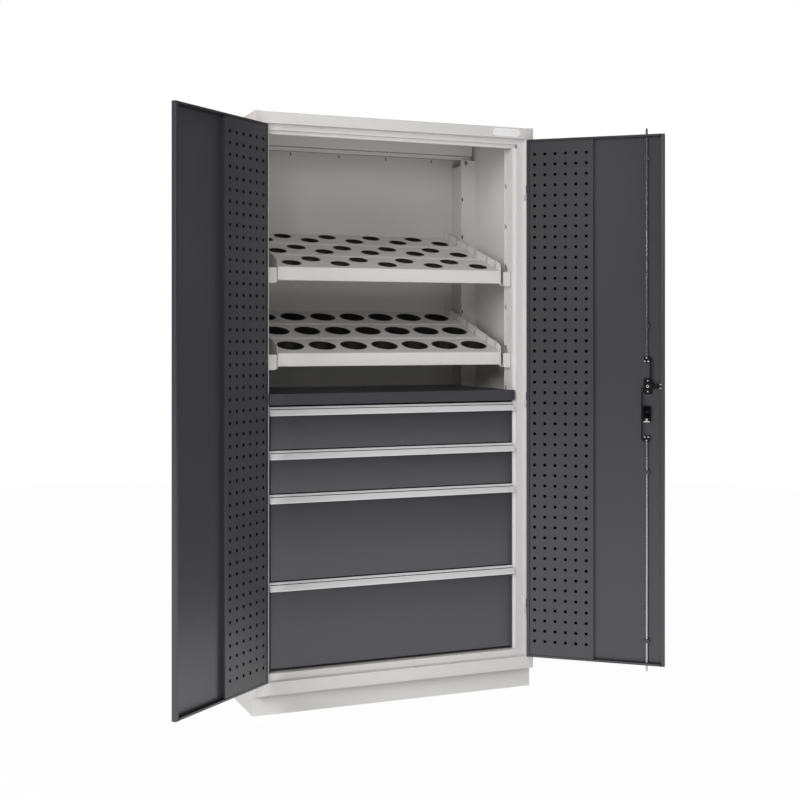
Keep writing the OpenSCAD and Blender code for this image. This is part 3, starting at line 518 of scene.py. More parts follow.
def fold(path: Sequence[Point], thick: float, inner: float = 1.5, left: bool = True,
         steps: int = 4) -> Outline:
    """Gives the section of a folded sheet.

    Args:
        path: Corners of the sheet's one face, in order.
        thick: Thickness of the sheet.
        inner: Radius inside each bend.
        left: True where the sheet lies on the left of the path.
        steps: Facets in each bend.

    Returns:
        The closed outline.
    """
    side = 1.0 if left else -1.0
    points = [Vector((*p, 0.0)) for p in path]
    face: list[Vector] = [points[0]]
    first = (points[1] - points[0]).normalized()
    back: list[Vector] = [points[0] + side * thick * Vector((-first.y, first.x, 0.0))]
    for before, here, after in zip(points, points[1:], points[2:]):
        u = (here - before).normalized()
        v = (after - here).normalized()
        turn = math.atan2(u.x * v.y - u.y * v.x, u.dot(v))
        toward = 1.0 if turn > 0 else -1.0
        inside = toward == side
        on_face = inner + (thick if inside else 0.0)
        on_back = inner + (0.0 if inside else thick)
        start = here - u * on_face * math.tan(abs(turn) / 2)
        centre = start + toward * on_face * Vector((-u.y, u.x, 0.0))
        arm = (start - centre).normalized()
        for k in range(steps + 1):
            ray = Matrix.Rotation(turn * k / steps, 3, "Z") @ arm
            face.append(centre + ray * on_face)
            back.append(centre + ray * on_back)
    last = (points[-1] - points[-2]).normalized()
    face.append(points[-1])
    back.append(points[-1] + side * thick * Vector((-last.y, last.x, 0.0)))
    return [(p.x, p.y) for p in face + back[::-1]]


def rounded(lo: Point, hi: Point, radii: Sequence[float], steps: int = 5) -> Outline:
    """Gives a rectangle with its own radius at each corner.

    Args:
        lo: Lowest corner.
        hi: Highest corner.
        radii: Radii at the low-low, high-low, high-high and low-high corners.
        steps: Facets in each corner.

    Returns:
        The closed outline, counter-clockwise.
    """
    corners = [(lo[0], lo[1], 180), (hi[0], lo[1], 270), (hi[0], hi[1], 0), (lo[0], hi[1], 90)]
    shape: Outline = []
    for (x, y, start), r in zip(corners, radii):
        cx = x + (r if x == lo[0] else -r)
        cy = y + (r if y == lo[1] else -r)
        for k in range(steps + 1 if r > 0 else 1):
            a = math.radians(start + 90.0 * k / steps)
            shape.append((cx + r * math.cos(a), cy + r * math.sin(a)))
    return shape


class Maker:
    """Collects the mesh of one piece, in millimetres from the front face."""

    def __init__(self, shop: Workshop, turn: Matrix = STAY) -> None:
        """Starts empty; turn moves all that is added."""
        self.shop = shop
        self.turn = turn
        self.mesh = bmesh.new()

    def _merge(self, part: bmesh.types.BMesh, local: Matrix) -> None:
        """Moves a part to its place and adds it.

        Args:
            part: The part, which is used up.
            local: A move before the piece's own.
        """
        move = self.turn @ local
        bmesh.ops.transform(part, matrix=move, verts=part.verts)
        if move.determinant() < 0:
            bmesh.ops.reverse_faces(part, faces=part.faces)
        store = bpy.data.meshes.new("part")
        part.to_mesh(store)
        part.free()
        self.mesh.from_mesh(store)
        bpy.data.meshes.remove(store)

    def _merge_mesh(self, mesh: bpy.types.Mesh, local: Matrix = STAY) -> None:
        """Adds a finished mesh at a place of its own and removes it from the file."""
        part = bmesh.new()
        part.from_mesh(mesh)
        bpy.data.meshes.remove(mesh)
        self._merge(part, local)

    def _take(self, part: bmesh.types.BMesh, soft: float, local: Matrix, smooth: bool) -> None:
        """Bevels a closed part and adds it.

        Args:
            part: The part, which is used up.
            soft: Width of the bevel on its sharp edges.
            local: A move before the piece's own.
            smooth: Shades the part smooth.
        """
        bmesh.ops.recalc_face_normals(part, faces=part.faces)
        if soft > 0:
            sharp = [edge for edge in part.edges
                     if edge.is_manifold and edge.calc_face_angle(0.0) > BEVEL_ANGLE]
            bmesh.ops.bevel(part, geom=sharp, offset=soft, segments=1, affect="EDGES",
                            clamp_overlap=True)
        for face in part.faces:
            face.smooth = smooth
        self._merge(part, local)

    def block(self, first: Spot, second: Spot, soft: float = 0.3) -> None:
        """Adds a block.

        Args:
            first: One of its corners.
            second: The corner across.
            soft: Bevel on its edges.
        """
        spans = [sorted(pair) for pair in zip(first, second)]
        part = bmesh.new()
        bmesh.ops.create_cube(part, size=1.0)
        for v in part.verts:
            v.co = Vector([a + (b - a) * (c + 0.5) for (a, b), c in zip(spans, v.co)])
        self._take(part, min(soft, 0.3 * min(b - a for a, b in spans)), STAY, False)

    def prism(self, outline: Outline, axis: str, first: float, second: float, soft: float = 0.0,
              local: Matrix = STAY) -> None:
        """Adds an outline drawn out along an axis.

        Args:
            outline: Points in Y and Z for X, in X and Z for Y, or in X and Y for Z.
            axis: The axis.
            first: One of its ends.
            second: The other end.
            soft: Bevel on its edges.
            local: A move of its own.
        """
        def spot(p: Point, at: float) -> Spot:
            """Puts an outline point at a place on the axis."""
            return {"X": (at, p[0], p[1]), "Y": (p[0], at, p[1]), "Z": (p[0], p[1], at)}[axis]

        part = bmesh.new()
        rings = [[part.verts.new(spot(p, at)) for p in outline] for at in sorted((first, second))]
        part.faces.new(rings[0])
        part.faces.new(rings[1])
        for k in range(len(outline)):
            n = (k + 1) % len(outline)
            part.faces.new((rings[0][k], rings[0][n], rings[1][n], rings[1][k]))
        self._take(part, soft, local, False)

    def lathe(self, profile: Outline, foot: Spot, axis: Spot, sides: int = 32) -> None:
        """Adds a turned shape.

        Args:
            profile: Radius and height of each ring, from the foot up; a radius of 0 closes an end.
            foot: Where the height is 0.
            axis: The direction of the height.
            sides: Facets around.
        """
        part = bmesh.new()
        rings = []
        for radius, height in profile:
            if radius <= 0:
                rings.append([part.verts.new((0.0, 0.0, height))] * sides)
                continue
            angles = [2 * math.pi * k / sides for k in range(sides)]
            rings.append([part.verts.new((radius * math.cos(a), radius * math.sin(a), height))
                          for a in angles])
        is_open = rings[0][0] is not rings[0][1] and rings[-1][0] is not rings[-1][1]
        for low, high in list(zip(rings, rings[1:])) + ([(rings[-1], rings[0])] if is_open else []):
            for k in range(sides):
                n = (k + 1) % sides
                corners = list(dict.fromkeys((low[k], low[n], high[n], high[k])))
                if len(corners) > 2:
                    part.faces.new(corners)
        aim = Vector((0.0, 0.0, 1.0)).rotation_difference(Vector(axis)).to_matrix().to_4x4()
        self._take(part, 0.0, Matrix.Translation(foot) @ aim, True)

    def rod(self, start: Spot, end: Spot, radius: float, tip: float = 0.6) -> None:
        """Adds a round bar with chamfered ends.

        Args:
            start: Middle of its one end.
            end: Middle of the other end.
            radius: Its radius.
            tip: Size of the chamfers.
        """
        run = Vector(end) - Vector(start)
        ring = [(0.0, 0.0), (radius - tip, 0.0), (radius, tip), (radius, run.length - tip),
                (radius - tip, run.length), (0.0, run.length)]
        self.lathe(ring, start, tuple(run.normalized()), 24)

    def punch(self, lo: Point, hi: Point, thick: float, holes: Sequence[Hole], place: Matrix,
              finish: Finish = Finish.LIGHT, corner: float = 0.1, sides: int = 12) -> None:
        """Adds a sheet with punched holes.

        Args:
            lo: Its lowest corner, as it lies flat in X and Y.
            hi: Its highest corner.
            thick: Its thickness, from Z = 0 up.
            holes: Place, width, height and roundness of each hole.
            place: The move from lying flat to its place.
            finish: Its finish.
            corner: Corner radius of a square hole as a share of its size.
            sides: Facets of a round hole.
        """
        mid = ((lo[0] + hi[0]) / 2, (lo[1] + hi[1]) / 2)
        mesh = self.shop.repeats.punched.run(
            [(x - mid[0], y - mid[1], 0.0) for x, y, *_ in holes],
            {"Width": hi[0] - lo[0], "Height": hi[1] - lo[1], "Thickness": thick,
             "Hole Corner": corner, "Sides": sides, "Material": self.shop.material(finish)},
            {"size": ("FLOAT_VECTOR", [(wide, high, 1.0) for _, _, wide, high, _ in holes]),
             "round": ("BOOLEAN", [is_round for *_, is_round in holes])})
        self._merge_mesh(mesh, place @ Matrix.Translation((*mid, 0.0)))

    def spread(self, build: Callable[["Maker"], None], spots: Sequence[Spot], finish: Finish,
               tilt: float = 0.0) -> None:
        """Makes one small part and sets it on each spot.

        Args:
            build: Adds the part to a maker, about the origin.
            spots: Where it stands.
            finish: Its finish.
            tilt: Its turn about X, in degrees.
        """
        small = Maker(self.shop)
        build(small)
        data = bpy.data.meshes.new("small_part")
        small.mesh.to_mesh(data)
        small.mesh.free()
        part = bpy.data.objects.new("small_part", data)
        bpy.context.scene.collection.objects.link(part)
        turns = [(math.radians(tilt), 0.0, 0.0)] * len(spots)
        mesh = self.shop.repeats.copies.run(
            spots, {"Part": part, "Material": self.shop.material(finish)},
            {"turn": ("FLOAT_VECTOR", turns)})
        bpy.data.objects.remove(part)
        bpy.data.meshes.remove(data)
        self._merge_mesh(mesh)

    def finish(self, name: str, body: str, finish: Finish, *nodes: str) -> None:
        """Turns what was collected into a piece.

        Args:
            name: The piece's name.
            body: The body it rides on.
            finish: Its finish.
            nodes: The solids it stands for.
        """
        data = bpy.data.meshes.new(name)
        bmesh.ops.transform(self.mesh, matrix=TO_CABINET, verts=self.mesh.verts)
        self.mesh.to_mesh(data)
        self.mesh.free()
        data.set_sharp_from_angle(angle=SHARP_ANGLE)
        data.materials.clear()
        data.materials.append(self.shop.material(finish))
        for face in data.polygons:
            face.material_index = 0
        piece = bpy.data.objects.new(name, data)
        bpy.context.scene.collection.objects.link(piece)
        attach(piece, body)
        if nodes:
            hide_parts(*nodes)
        log.info("%s: %d faces on %s", name, len(data.polygons), body)


# The cabinet


@dataclass
class Carcass:
    """The fixed body: side panels, roof, header, posts, base, plinth and name plate."""

    shop: Workshop
    half: float = 533.0
    height: float = 2070.0
    depth: float = 600.0
    sheet: float = 1.5
    clear: float = 0.2
    open_half: float = 507.0
    stop_half: float = 480.0
    post_half: float = 470.0
    base_z: float = 74.0
    open_low: float = 119.0
    open_high: float = 2031.0
    floor_z: float = 141.0
    stop_high: float = 2012.0
    post_high: float = 2000.0
    rear_post_high: float = 2010.8
    notch: float = 22.0
    stop_y: float = 28.0
    post_y: float = 43.0
    post_depth: float = 68.0
    back_y: float = 592.0
    rear_y: float = 495.0
    slot_low: float = 203.0
    slot_pitch: float = 151.0
    slots: int = 12
    front_rows: Point = (68.0, 90.0)
    rear_rows: Point = (525.0, 547.0)
    wide_y: float = 102.0
    fine_up: float = 32.5
    fine_slots: int = 23
    rear_drop: float = 12.0
    keeper: Point = (66.0, 10.0)
    keeper_r: float = 7.0
    buffer_half: float = 5.0
    # Painted shade: heights of the dark strip behind the back wall's slots and of the dark lines for the
    # shadow in the rear beam's folds.
    painted_slot_shade_z: Point = (2000.0, 2026.0)
    painted_seam_shade_z: Point = (2011.2, 2027.6)
    painted_seam_shade_half: float = 517.5
    plate_x: Point = (367.0, 479.0)
    plate_r: float = 14.5
    hinge_heights: tuple[float, ...] = (302.0, 1066.0, 1830.0)

    @property
    def reach(self) -> float:
        """Half the width between the side panels."""
        return self.half - self.sheet - self.clear

    @property
    def rear(self) -> float:
        """Where the roof and the base end, before the skin's rear folds."""
        return self.depth - self.sheet - self.clear

    def build(self) -> None:
        """Builds every piece of the carcass."""
        self.side_panels()
        self.roof()
        self.header()
        self.base()
        for label, turn in SIDES:
            self.front_post(label, turn)
            self.rear_post(label, turn)
        self.hinge_halves()
        self.plate()
        self.shop.finishes.dress(Finish.LIGHT, "back_panel", "plinth", "rear_beam")
        self.shop.finishes.dress(Finish.ZINC, "frame_bolts")
        self.painted_shade_strips()

    def _mitre(self, x: float, z_in: float, z_out: float) -> float:
        """Gives the height of a mitred corner's seam.

        Args:
            x: Place across.
            z_in: Height of the fascia's edge at the doors.
            z_out: Height of its outer edge.

        Returns:
            The height.
        """
        return z_in + (x - self.open_half) * (z_out - z_in) / (self.half - self.open_half)

    def side_panels(self) -> None:
        """Builds both side panels, folded round to the door stops."""
        turn_y, radius = 4.0, 1.0
        inner = self.half - self.sheet - 1.0
        edge = [(self.half, turn_y), (self.half, 0.0)]
        for label, turn in SIDES:
            m = Maker(self.shop, turn)
            skin = fold([(self.half - 20, self.depth), (self.half, self.depth), edge[0]],
                        self.sheet, radius, left=False)
            m.prism(skin, "Z", self.base_z, self.height)
            front = fold([*edge, (self.open_half, 0.0), (self.open_half, self.stop_y),
                          (self.stop_half, self.stop_y)], self.sheet, radius, left=False)
            m.prism(front, "Z", self.open_low, self.open_high)
            for z_in, z_out in ((self.open_high, self.height), (self.open_low, self.base_z)):
                corner = fold([*edge, (inner, 0.0)], self.sheet, radius, left=False)
                m.prism(corner, "Z", z_in, z_out)
                wedge = [(self.open_half, z_in), (inner, z_in), (inner, self._mitre(inner, z_in, z_out))]
                m.prism(wedge, "Y", 0.0, self.sheet)
            m.finish(f"side_panel_{label}", "cabinet", Finish.LIGHT, f"side_{label}")

    def _fascia_ends(self, m: Maker, z_in: float, z_out: float) -> None:
        """Adds the mitred ends of a fascia.

        Args:
            m: The piece.
            z_in: Height of the fascia's edge at the doors.
            z_out: Height of its outer edge.
        """
        gap = 0.5
        near = self.open_half - gap
        kink = self._mitre(self.reach + gap, z_in, z_out)
        for s in SIGNS:
            shape = [(s * near, z_in), (s * self.reach, kink), (s * self.reach, z_out), (s * near, z_out)]
            m.prism(shape, "Y", 0.0, self.sheet)

    def roof(self) -> None:
        """Builds the roof with its fascia and two side flanges."""
        m = Maker(self.shop)
        top, reach, sheet = self.height, self.reach, self.sheet
        turn_y = 5.0
        front = fold([(0.0, self.open_high), (0.0, top), (turn_y, top)], sheet, 1.2, left=False)
        m.prism(front, "X", 0.5 - self.open_half, self.open_half - 0.5)
        cover = fold([(turn_y, top), (self.rear, top), (self.rear, self.open_high)],
                     sheet, 1.2, left=False)
        m.prism(cover, "X", -reach, reach)
        self._fascia_ends(m, self.open_high, top)
        for s in SIGNS:
            m.block((s * (self.open_half - 0.6), 0.0, top - sheet), (s * reach, turn_y + 0.2, top))
            m.block((s * reach, turn_y - 1.0, top - 16),
                    (s * (reach - sheet), self.rear_y + 2.8, top - 1.0))
        m.finish("roof_cap", "cabinet", Finish.LIGHT, "roof")

    def _kept_sheet(self, m: Maker, wide: float, y0: float, y1: float, z: float) -> None:
        """Adds a level sheet with the hole that takes a lock rod.

        Args:
            m: The piece.
            wide: Half the sheet's width.
            y0: Its front edge.
            y1: Its rear edge.
            z: Its underside.
        """
        hole = (*self.keeper, 2 * self.keeper_r, 2 * self.keeper_r, True)
        m.punch((-wide, y0), (wide, y1), self.sheet, [hole], Matrix.Translation((0.0, 0.0, z)), sides=32)

    def _buffer(self, m: Maker, z0: float, z1: float) -> None:
        """Adds the small buffer on a stop strip, between two heights."""
        m.block((-self.buffer_half, self.stop_y - 0.1, z0), (self.buffer_half, self.stop_y + 0.2, z1), 0.05)

    def header(self) -> None:
        """Builds the stepped strip over the doors."""
        m = Maker(self.shop)
        narrow = self.stop_half - self.clear
        self._kept_sheet(m, self.open_half - self.clear, 1.7, self.stop_y + self.sheet, self.open_high)
        step = fold([(self.stop_y, self.open_high + 0.5), (self.stop_y, self.stop_high),
                     (self.post_y, self.stop_high), (self.post_y, self.post_high),
                     (self.post_y + 17, self.post_high)], self.sheet, 0.8)
        m.prism(step, "X", -narrow, narrow)
        self._buffer(m, self.open_high - 12, self.open_high - 9.5)
        m.finish("header_strip", "cabinet", Finish.LIGHT, "header")

    def base(self) -> None:
        """Builds the base with its fascia, sill, stop and floor."""
        m = Maker(self.shop)
        wide = self.open_half - 0.5
        narrow = self.stop_half - self.clear
        reach, rear, sheet = self.reach, self.rear, self.sheet
        front = fold([(40.0, self.base_z), (0.0, self.base_z), (0.0, self.open_low),
                      (3.0, self.open_low)], sheet, 1.2, left=False)
        m.prism(front, "X", -wide, wide)
        self._kept_sheet(m, wide, 3.0, self.stop_y + 1.0, self.open_low - sheet)
        step = fold([(self.stop_y, self.open_low - 0.5), (self.stop_y, self.floor_z),
                     (self.post_y, self.floor_z)], sheet, 0.8, left=False)
        m.prism(step, "X", -narrow, narrow)
        m.block((-reach, self.post_y, self.floor_z - sheet), (reach, rear, self.floor_z))
        m.block((-reach, 0.6, self.base_z), (reach, rear, self.base_z + sheet))
        m.block((-reach, rear - sheet, self.base_z), (reach, rear, self.floor_z))
        self._fascia_ends(m, self.open_low, self.base_z)
        self._buffer(m, self.open_low + 7, self.open_low + 9.5)
        m.finish("base_pan", "cabinet", Finish.LIGHT, "base_frame")

    def _fine_holes(self, rows: Point) -> list[Hole]:
        """Places the fine slots and the small holes of a post's face.

        Args:
            rows: Places of the two rows across the face.

        Returns:
            Holes for a punched sheet.
        """
        fine = self.slot_pitch / 2
        first = self.slot_low + self.fine_up
        holes = [(y, first + k * fine, 2.4, 19.0, False) for k in range(self.fine_slots) for y in rows]
        for z in self._wide_heights()[:-1]:
            for up in (self.slot_pitch / 3, self.slot_pitch - 9):
                holes += [(y, z + up, 4.0, 4.0, True) for y in rows]
        return holes

    def _wide_heights(self) -> list[float]:
        """Gives the heights of the wide slots."""
        return [self.slot_low + k * self.slot_pitch for k in range(self.slots)]

    def front_post(self, label: str, turn: Matrix) -> None:
        """Builds one front post, and behind its wide slots a black sheet of painted shade.

        Args:
            label: Its side.
            turn: The move to its side.
        """
        m = Maker(self.shop, turn)
        x, low, high = self.post_half, self.floor_z, self.post_high
        y0, y1 = self.post_y + 3.0, self.post_y + self.post_depth - 2.5
        holes = self._fine_holes(self.front_rows)
        holes += [(self.wide_y, z, 10.0, 14.0, False) for z in self._wide_heights()]
        m.punch((y0, low), (y1, high), self.sheet, holes, Matrix.Translation((x, 0.0, 0.0)) @ ACROSS)
        near = fold([(self.stop_half, self.stop_y + 2), (self.stop_half, self.post_y),
                     (x, self.post_y), (x, y0)], self.sheet, 0.8, left=False)
        m.prism(near, "Z", low, high)
        m.prism(fold([(x, y1), (x, y1 + 2.5), (x + 16, y1 + 2.5)], self.sheet, 0.8), "Z", low, high)
        m.finish(f"front_post_{label}", "cabinet", Finish.LIGHT, "posts_front")
        m = Maker(self.shop, turn)
        # Painted shade: a black sheet behind the wide slots makes them show dark, standing in for the shade
        # inside them.
        m.block((x + 4.0, self.wide_y - 6.5, low + 4), (x + 5.0, y1, high - 4))
        m.finish(f"front_post_lining_{label}", "cabinet", Finish.LINING)

    def rear_post(self, label: str, turn: Matrix) -> None:
        """Builds one rear post, and behind its slots a black sheet of painted shade.

        Args:
            label: Its side.
            turn: The move to its side.
        """
        m = Maker(self.shop, turn)
        x, low, high = self.post_half, self.floor_z, self.rear_post_high
        front, sheet = self.rear_y, self.sheet
        y0, y1 = front + 3.0, self.back_y - 3.0
        notch = high - self.notch
        m.punch((y0, low), (y1, notch), sheet, self._fine_holes(self.rear_rows),
                Matrix.Translation((x, 0.0, 0.0)) @ ACROSS, corner=0.2)
        m.block((x, y0, notch - 0.1), (x + sheet, front + 11, high), 0.1)
        head = [(x + 19, high - 10, 11.0, 14.0, False), (x + 19, high - 25, 4.0, 4.0, True)]
        m.punch((x + 6.0, low), (self.reach, high), sheet, head,
                Matrix.Translation((0.0, front + sheet, 0.0)) @ FACING, sides=16)
        bend = fold([(x + 6.0, front), (x, front), (x, y0)], sheet, 0.8)
        middles = [z - self.rear_drop for z in self._wide_heights()]
        edges = [low] + [z + way for z in middles for way in (-7.0, 7.0)] + [high]
        for z0, z1 in zip(edges[::2], edges[1::2]):
            m.prism(bend, "Z", z0, z1)
        m.prism(fold([(x, y1), (x, y1 + 3), (x + 20, y1 + 3)], sheet, 0.8), "Z", low, high)
        m.finish(f"rear_post_{label}", "cabinet", Finish.LIGHT, "posts_rear")
        m = Maker(self.shop, turn)
        # Painted shade: a black sheet behind the slots of the bend stands in for the shade inside them.
        m.block((x + 2.2, y0, low + 4), (x + 10, y0 + 1.0, high - 26))
        m.finish(f"rear_post_lining_{label}", "cabinet", Finish.LINING)

    def hinge_halves(self) -> None:
        """Builds the fixed halves of the lift-off hinges."""
        def half(m: Maker) -> None:
            """Adds one fixed half: barrel with its pin, leaf and two rivets."""
            m.lathe([(0, -28), (3.9, -28), (4.5, -27.4), (4.5, -0.5), (4.2, 0), (3.0, 0), (3.0, 23),
                     (2.2, 25), (0, 25)], (505.0, -4.6, 0.0), (0, 0, 1), 28)
            m.block((505.4, -4.6, -28.0), (506.9, 24.0, -0.4))
            for z in (-21.0, -7.0):
                m.lathe([(0, 0), (2.6, 0), (2.2, 0.5), (0, 0.6)], (505.4, 18.0, z), (-1, 0, 0), 16)

        for label, turn in SIDES:
            m = Maker(self.shop, turn)
            m.spread(half, [(0.0, 0.0, z) for z in self.hinge_heights], Finish.ZINC)
            m.finish(f"hinge_halves_{label}", "cabinet", Finish.ZINC, "hinge_halves")

    def plate(self) -> None:
        """Builds the blank plate on the roof fascia."""
        m = Maker(self.shop)
        z = (self.open_high + self.height) / 2
        r = self.plate_r
        shape = rounded((self.plate_x[0], z - r), (self.plate_x[1], z + r), (r, r, r, r), 8)
        m.prism(shape, "Y", -0.6, 0.0, 0.15)
        m.finish("blank_plate", "cabinet", Finish.PLATE, "name_plate")

    def painted_shade_strips(self) -> None:
        """Builds painted shade: a dark strip behind the back wall's slots, and dark lines on the rear beam
        that stand in for the shadow in its folds.
        """
        m = Maker(self.shop)
        # Painted shade: a dark strip behind the back wall's slots stands in for the shade inside them.
        m.block((-self.stop_half, self.back_y + 3.0, self.painted_slot_shade_z[0]),
                (self.stop_half, self.back_y + 4.0, self.painted_slot_shade_z[1]))
        m.finish("back_wall_strip", "cabinet", Finish.DARK)
        m = Maker(self.shop)
        # Painted shade: thin dark lines on the rear beam stand in for the shadow in its folds.
        for z in self.painted_seam_shade_z:
            m.block((-self.painted_seam_shade_half, self.rear_y + 16.0, z), (self.painted_seam_shade_half, self.rear_y + 16.4, z + 1.6))
        m.finish("rear_beam_seams", "cabinet", Finish.DARK)


class TierKind(Enum):
    """The two socket patterns: small staggered sockets above, large ones in a row below."""

    UPPER = "upper"
    LOWER = "lower"


@dataclass
class Tier:
    """One tilted tier: two arms, three pressed rails, socket sleeves and rail clips."""

    shop: Workshop
    kind: TierKind
    z: float
    tilt: float = 17.0
    front: float = 65.0
    rail_half: float = 430.0
    rail_w: float = 167.0
    pitch: float = 183.0
    bend: float = 6.0
    lip: float = 50.0
    turned: float = 20.0
    sheet: float = 1.5
    arm_in: float = 431.0
    arm_out: float = 469.0
    arm_rear: float = 588.0
    arm_h: float = 53.0
    tab: float = 31.0
    hooks: Point = (90.0, 525.0)
    hook_out: float = 474.5
    hook_pitch: float = 75.5
    hook_first: float = 235.5
    wall: float = 3.0
    rim: float = 2.4
    sleeve_depth: float = 32.0
    radius: float = field(init=False)
    places: list[Point] = field(init=False)

    def __post_init__(self) -> None:
        """Places the sockets of one rail."""
        if self.kind is TierKind.UPPER:
            self.radius = 30.0
            self.places = [((i - 2) * 182.0, 60.0) for i in range(5)]
            self.places += [((i - 1.5) * 182.0, 122.5) for i in range(4)]
        else:
            self.radius = 44.0
            self.places = [((i - 3) * 120.0, 89.0) for i in range(7)]

    def slope(self, rail: int) -> Matrix:
        """Gives the move from a rail drawn flat to its place on the slope."""
        tilt = Matrix.Rotation(math.radians(self.tilt), 4, "X")
        foot = Matrix.Translation((0.0, self.front, self.z))
        return foot @ tilt @ Matrix.Translation((0.0, rail * self.pitch, 0.0))

    def on_slope(self, places: Sequence[Point]) -> list[Spot]:
        """Gives where places on a rail lie, for all three rails."""
        return [tuple(self.slope(rail) @ Vector((x, s, 0.0))) for rail in range(3) for x, s in places]

    def build(self) -> None:
        """Builds the tier."""
        for rail, label in enumerate(("front", "middle", "rear")):
            self.rail(rail, f"{self.kind.value}_rail_{label}")
        self.sleeves()
        self.arms()

    def rail(self, rail: int, node: str) -> None:
        """Builds one rail.

        Args:
            rail: Its number from the front.
            node: The solid it stands for.
        """
        m = Maker(self.shop, self.slope(rail))
        wide, deep, bend = self.rail_half, self.rail_w, self.bend
        hole = 2 * (self.radius + self.wall + 0.2)
        m.punch((3 - wide, bend), (wide - 3, deep - bend), self.sheet,
                [(x, s, hole, hole, True) for x, s in self.places],
                Matrix.Translation((0.0, 0.0, -self.sheet)), corner=0.08, sides=44)
        nose = fold([(bend, 0.0), (0.0, 0.0), (0.0, -self.lip), (12.0, -self.lip)],
                    self.sheet, 3.2, steps=6)
        m.prism(nose, "X", -wide, wide)
        tail = fold([(deep - bend, 0.0), (deep, 0.0), (deep, -self.turned)], self.sheet, 2.0, left=False)
        m.prism(tail, "X", -wide, wide)
        for s in SIGNS:
            end = fold([(s * (wide - 3), 0.0), (s * wide, 0.0), (s * wide, -self.turned)],
                       self.sheet, 1.2, left=s < 0)
            m.prism(end, "Y", bend, deep - bend)
        m.finish(node + "_pressed", "cabinet", Finish.LIGHT, node)

    def sleeves(self) -> None:
        """Builds the sleeves of all three rails."""
        r, depth = self.radius, self.sleeve_depth
        out = r + self.wall
        edge = out + self.rim

        def sleeve(m: Maker) -> None:
            """Adds one sleeve with its rim and a ledge inside."""
            m.lathe([(r, -depth + 1), (r + 0.6, -depth), (out, -depth), (out, 0.0), (edge, 0.0),
                     (edge, 0.6), (edge - 0.4, 1.0), (r + 0.9, 1.0), (r, 0.2)],
                    (0, 0, 0), (0, 0, 1), 48)

        m = Maker(self.shop)
        m.spread(sleeve, self.on_slope(self.places), Finish.SOCKET, self.tilt)
        name = f"{self.kind.value}_sleeves"
        m.finish(f"{name}_moulded", "cabinet", Finish.SOCKET, name)

    def arms(self) -> None:
        """Builds the two arms: outer wall, foot, inner wall, front tab and two hooks."""
        k = math.tan(math.radians(self.tilt))
        y0, y1, y2 = self.front - 8, self.arm_rear, self.front + 2
        top = self.z - 4
        low = top - self.arm_h
        rise = (y1 - y0) * k
        foot, rear = low + (y2 - y0) * k, low + rise
        crest = self.z + (y2 - self.front) * k + 25 / math.cos(math.radians(self.tilt))
        out, into = self.arm_out, self.arm_in
        outer = [(y0, low), (y0, top), (y1, top + rise), (y1, rear)]
        strip = [(y2, foot), (y2, foot + 1.6), (y1, rear + 1.6), (y1, rear)]
        inner = [(y2, foot), (y2, crest - 12), (y2 + 4, crest - 3), (y2 + 12, crest + 11 * k),
                 (y1 - 10, crest + (y1 - 10 - y2) * k), (y1, rear + 40), (y1, rear)]
        tab = rounded((out - self.tab, low), (out, top), (9.0, 1.5, 2.0, 1.5))
        for label, turn in SIDES:
            m = Maker(self.shop, turn)
            m.prism(outer, "X", out - self.sheet, out, 0.2)
            m.prism(strip, "X", into, out)
            m.prism(inner, "X", into, into + self.sheet, 0.2)
            m.prism(tab, "Y", y0, y0 + self.sheet, 0.2)
            for y in self.hooks:
                steps = round((low + (y - y0) * k + self.arm_h / 2 - self.hook_first) / self.hook_pitch)
                slot = self.hook_first + steps * self.hook_pitch
                m.block((out - 0.5, y - 1.0, slot - 9.4), (self.hook_out, y + 1.0, slot - 0.4), 0.2)
            m.finish(f"{self.kind.value}_arm_{label}", "cabinet", Finish.LIGHT, f"{self.kind.value}_arms")


@dataclass
class RailClips:
    """The bright clips that hang the ends of the rails on the arms."""

    shop: Workshop
    tiers: Sequence[Tier]
    seats: tuple[float, ...] = (50.0, 128.0)
    thick: float = 1.2
    half: float = 7.0
    strip: tuple[Point, ...] = ((416.0, 0.0), (429.8, 0.0), (429.8, 26.4), (433.9, 26.4), (433.9, 13.0))

    def build(self) -> None:
        """Builds every clip."""
        def clip(m: Maker) -> None:
            """Adds one clip, bent from strip, with its rivet."""
            m.prism(fold(self.strip, self.thick, 0.8), "Y", -self.half, self.half)
            m.lathe([(0, 0), (3.4, 0), (3.0, 0.9), (1.6, 1.3), (0, 1.4)],
                    (421.0, 0.0, self.thick), (0, 0, 1), 16)

        spots = [spot for tier in self.tiers for spot in tier.on_slope([(0.0, s) for s in self.seats])]
        for label, turn in SIDES:
            m = Maker(self.shop, turn)
            m.spread(clip, spots, Finish.ZINC, self.tiers[0].tilt)
            m.finish(f"rail_clips_{label}", "cabinet", Finish.ZINC, "rail_clips")


@dataclass
class DrawerBlock:
    """The fixed shell round the drawers."""

    shop: Workshop
    half: float = 469.0
    cover_half: float = 472.5
    top: float = 1102.0
    face: float = 38.5
    front: float = 31.0
    neck: float = 42.5
    rear: float = 590.0
    sheet: float = 1.5

    def build(self) -> None:
        """Builds the cover and dresses the rest."""
        m = Maker(self.shop)
        wide, top, sheet, y0 = self.cover_half, self.top, self.sheet, self.front
        low = top - self.face
        face = rounded((-wide, low), (wide, top), (1.0, 1.0, 4.0, 4.0))
        m.prism(face, "Y", y0, y0 + sheet, 0.3)
        m.block((3.5 - wide, y0 + 0.5, top - sheet), (wide - 3.5, self.neck, top), 0.4)
        m.block((1 - wide, y0 + 0.5, low), (wide - 1, self.neck, low + sheet))
        m.block((-self.half, self.neck - 0.2, top - sheet), (self.half, self.rear, top))
        for s in SIGNS:
            m.block((s * wide, y0 + 0.6, low), (s * (wide - sheet), self.neck, top - 3.5))
        m.finish("block_cover_folded", "cabinet", Finish.DARK, "block_cover")
        self.shop.finishes.dress(Finish.DARK, "block_side_left", "block_side_right", "block_back")
        self.shop.finishes.dress(Finish.ZINC, "block_runners")


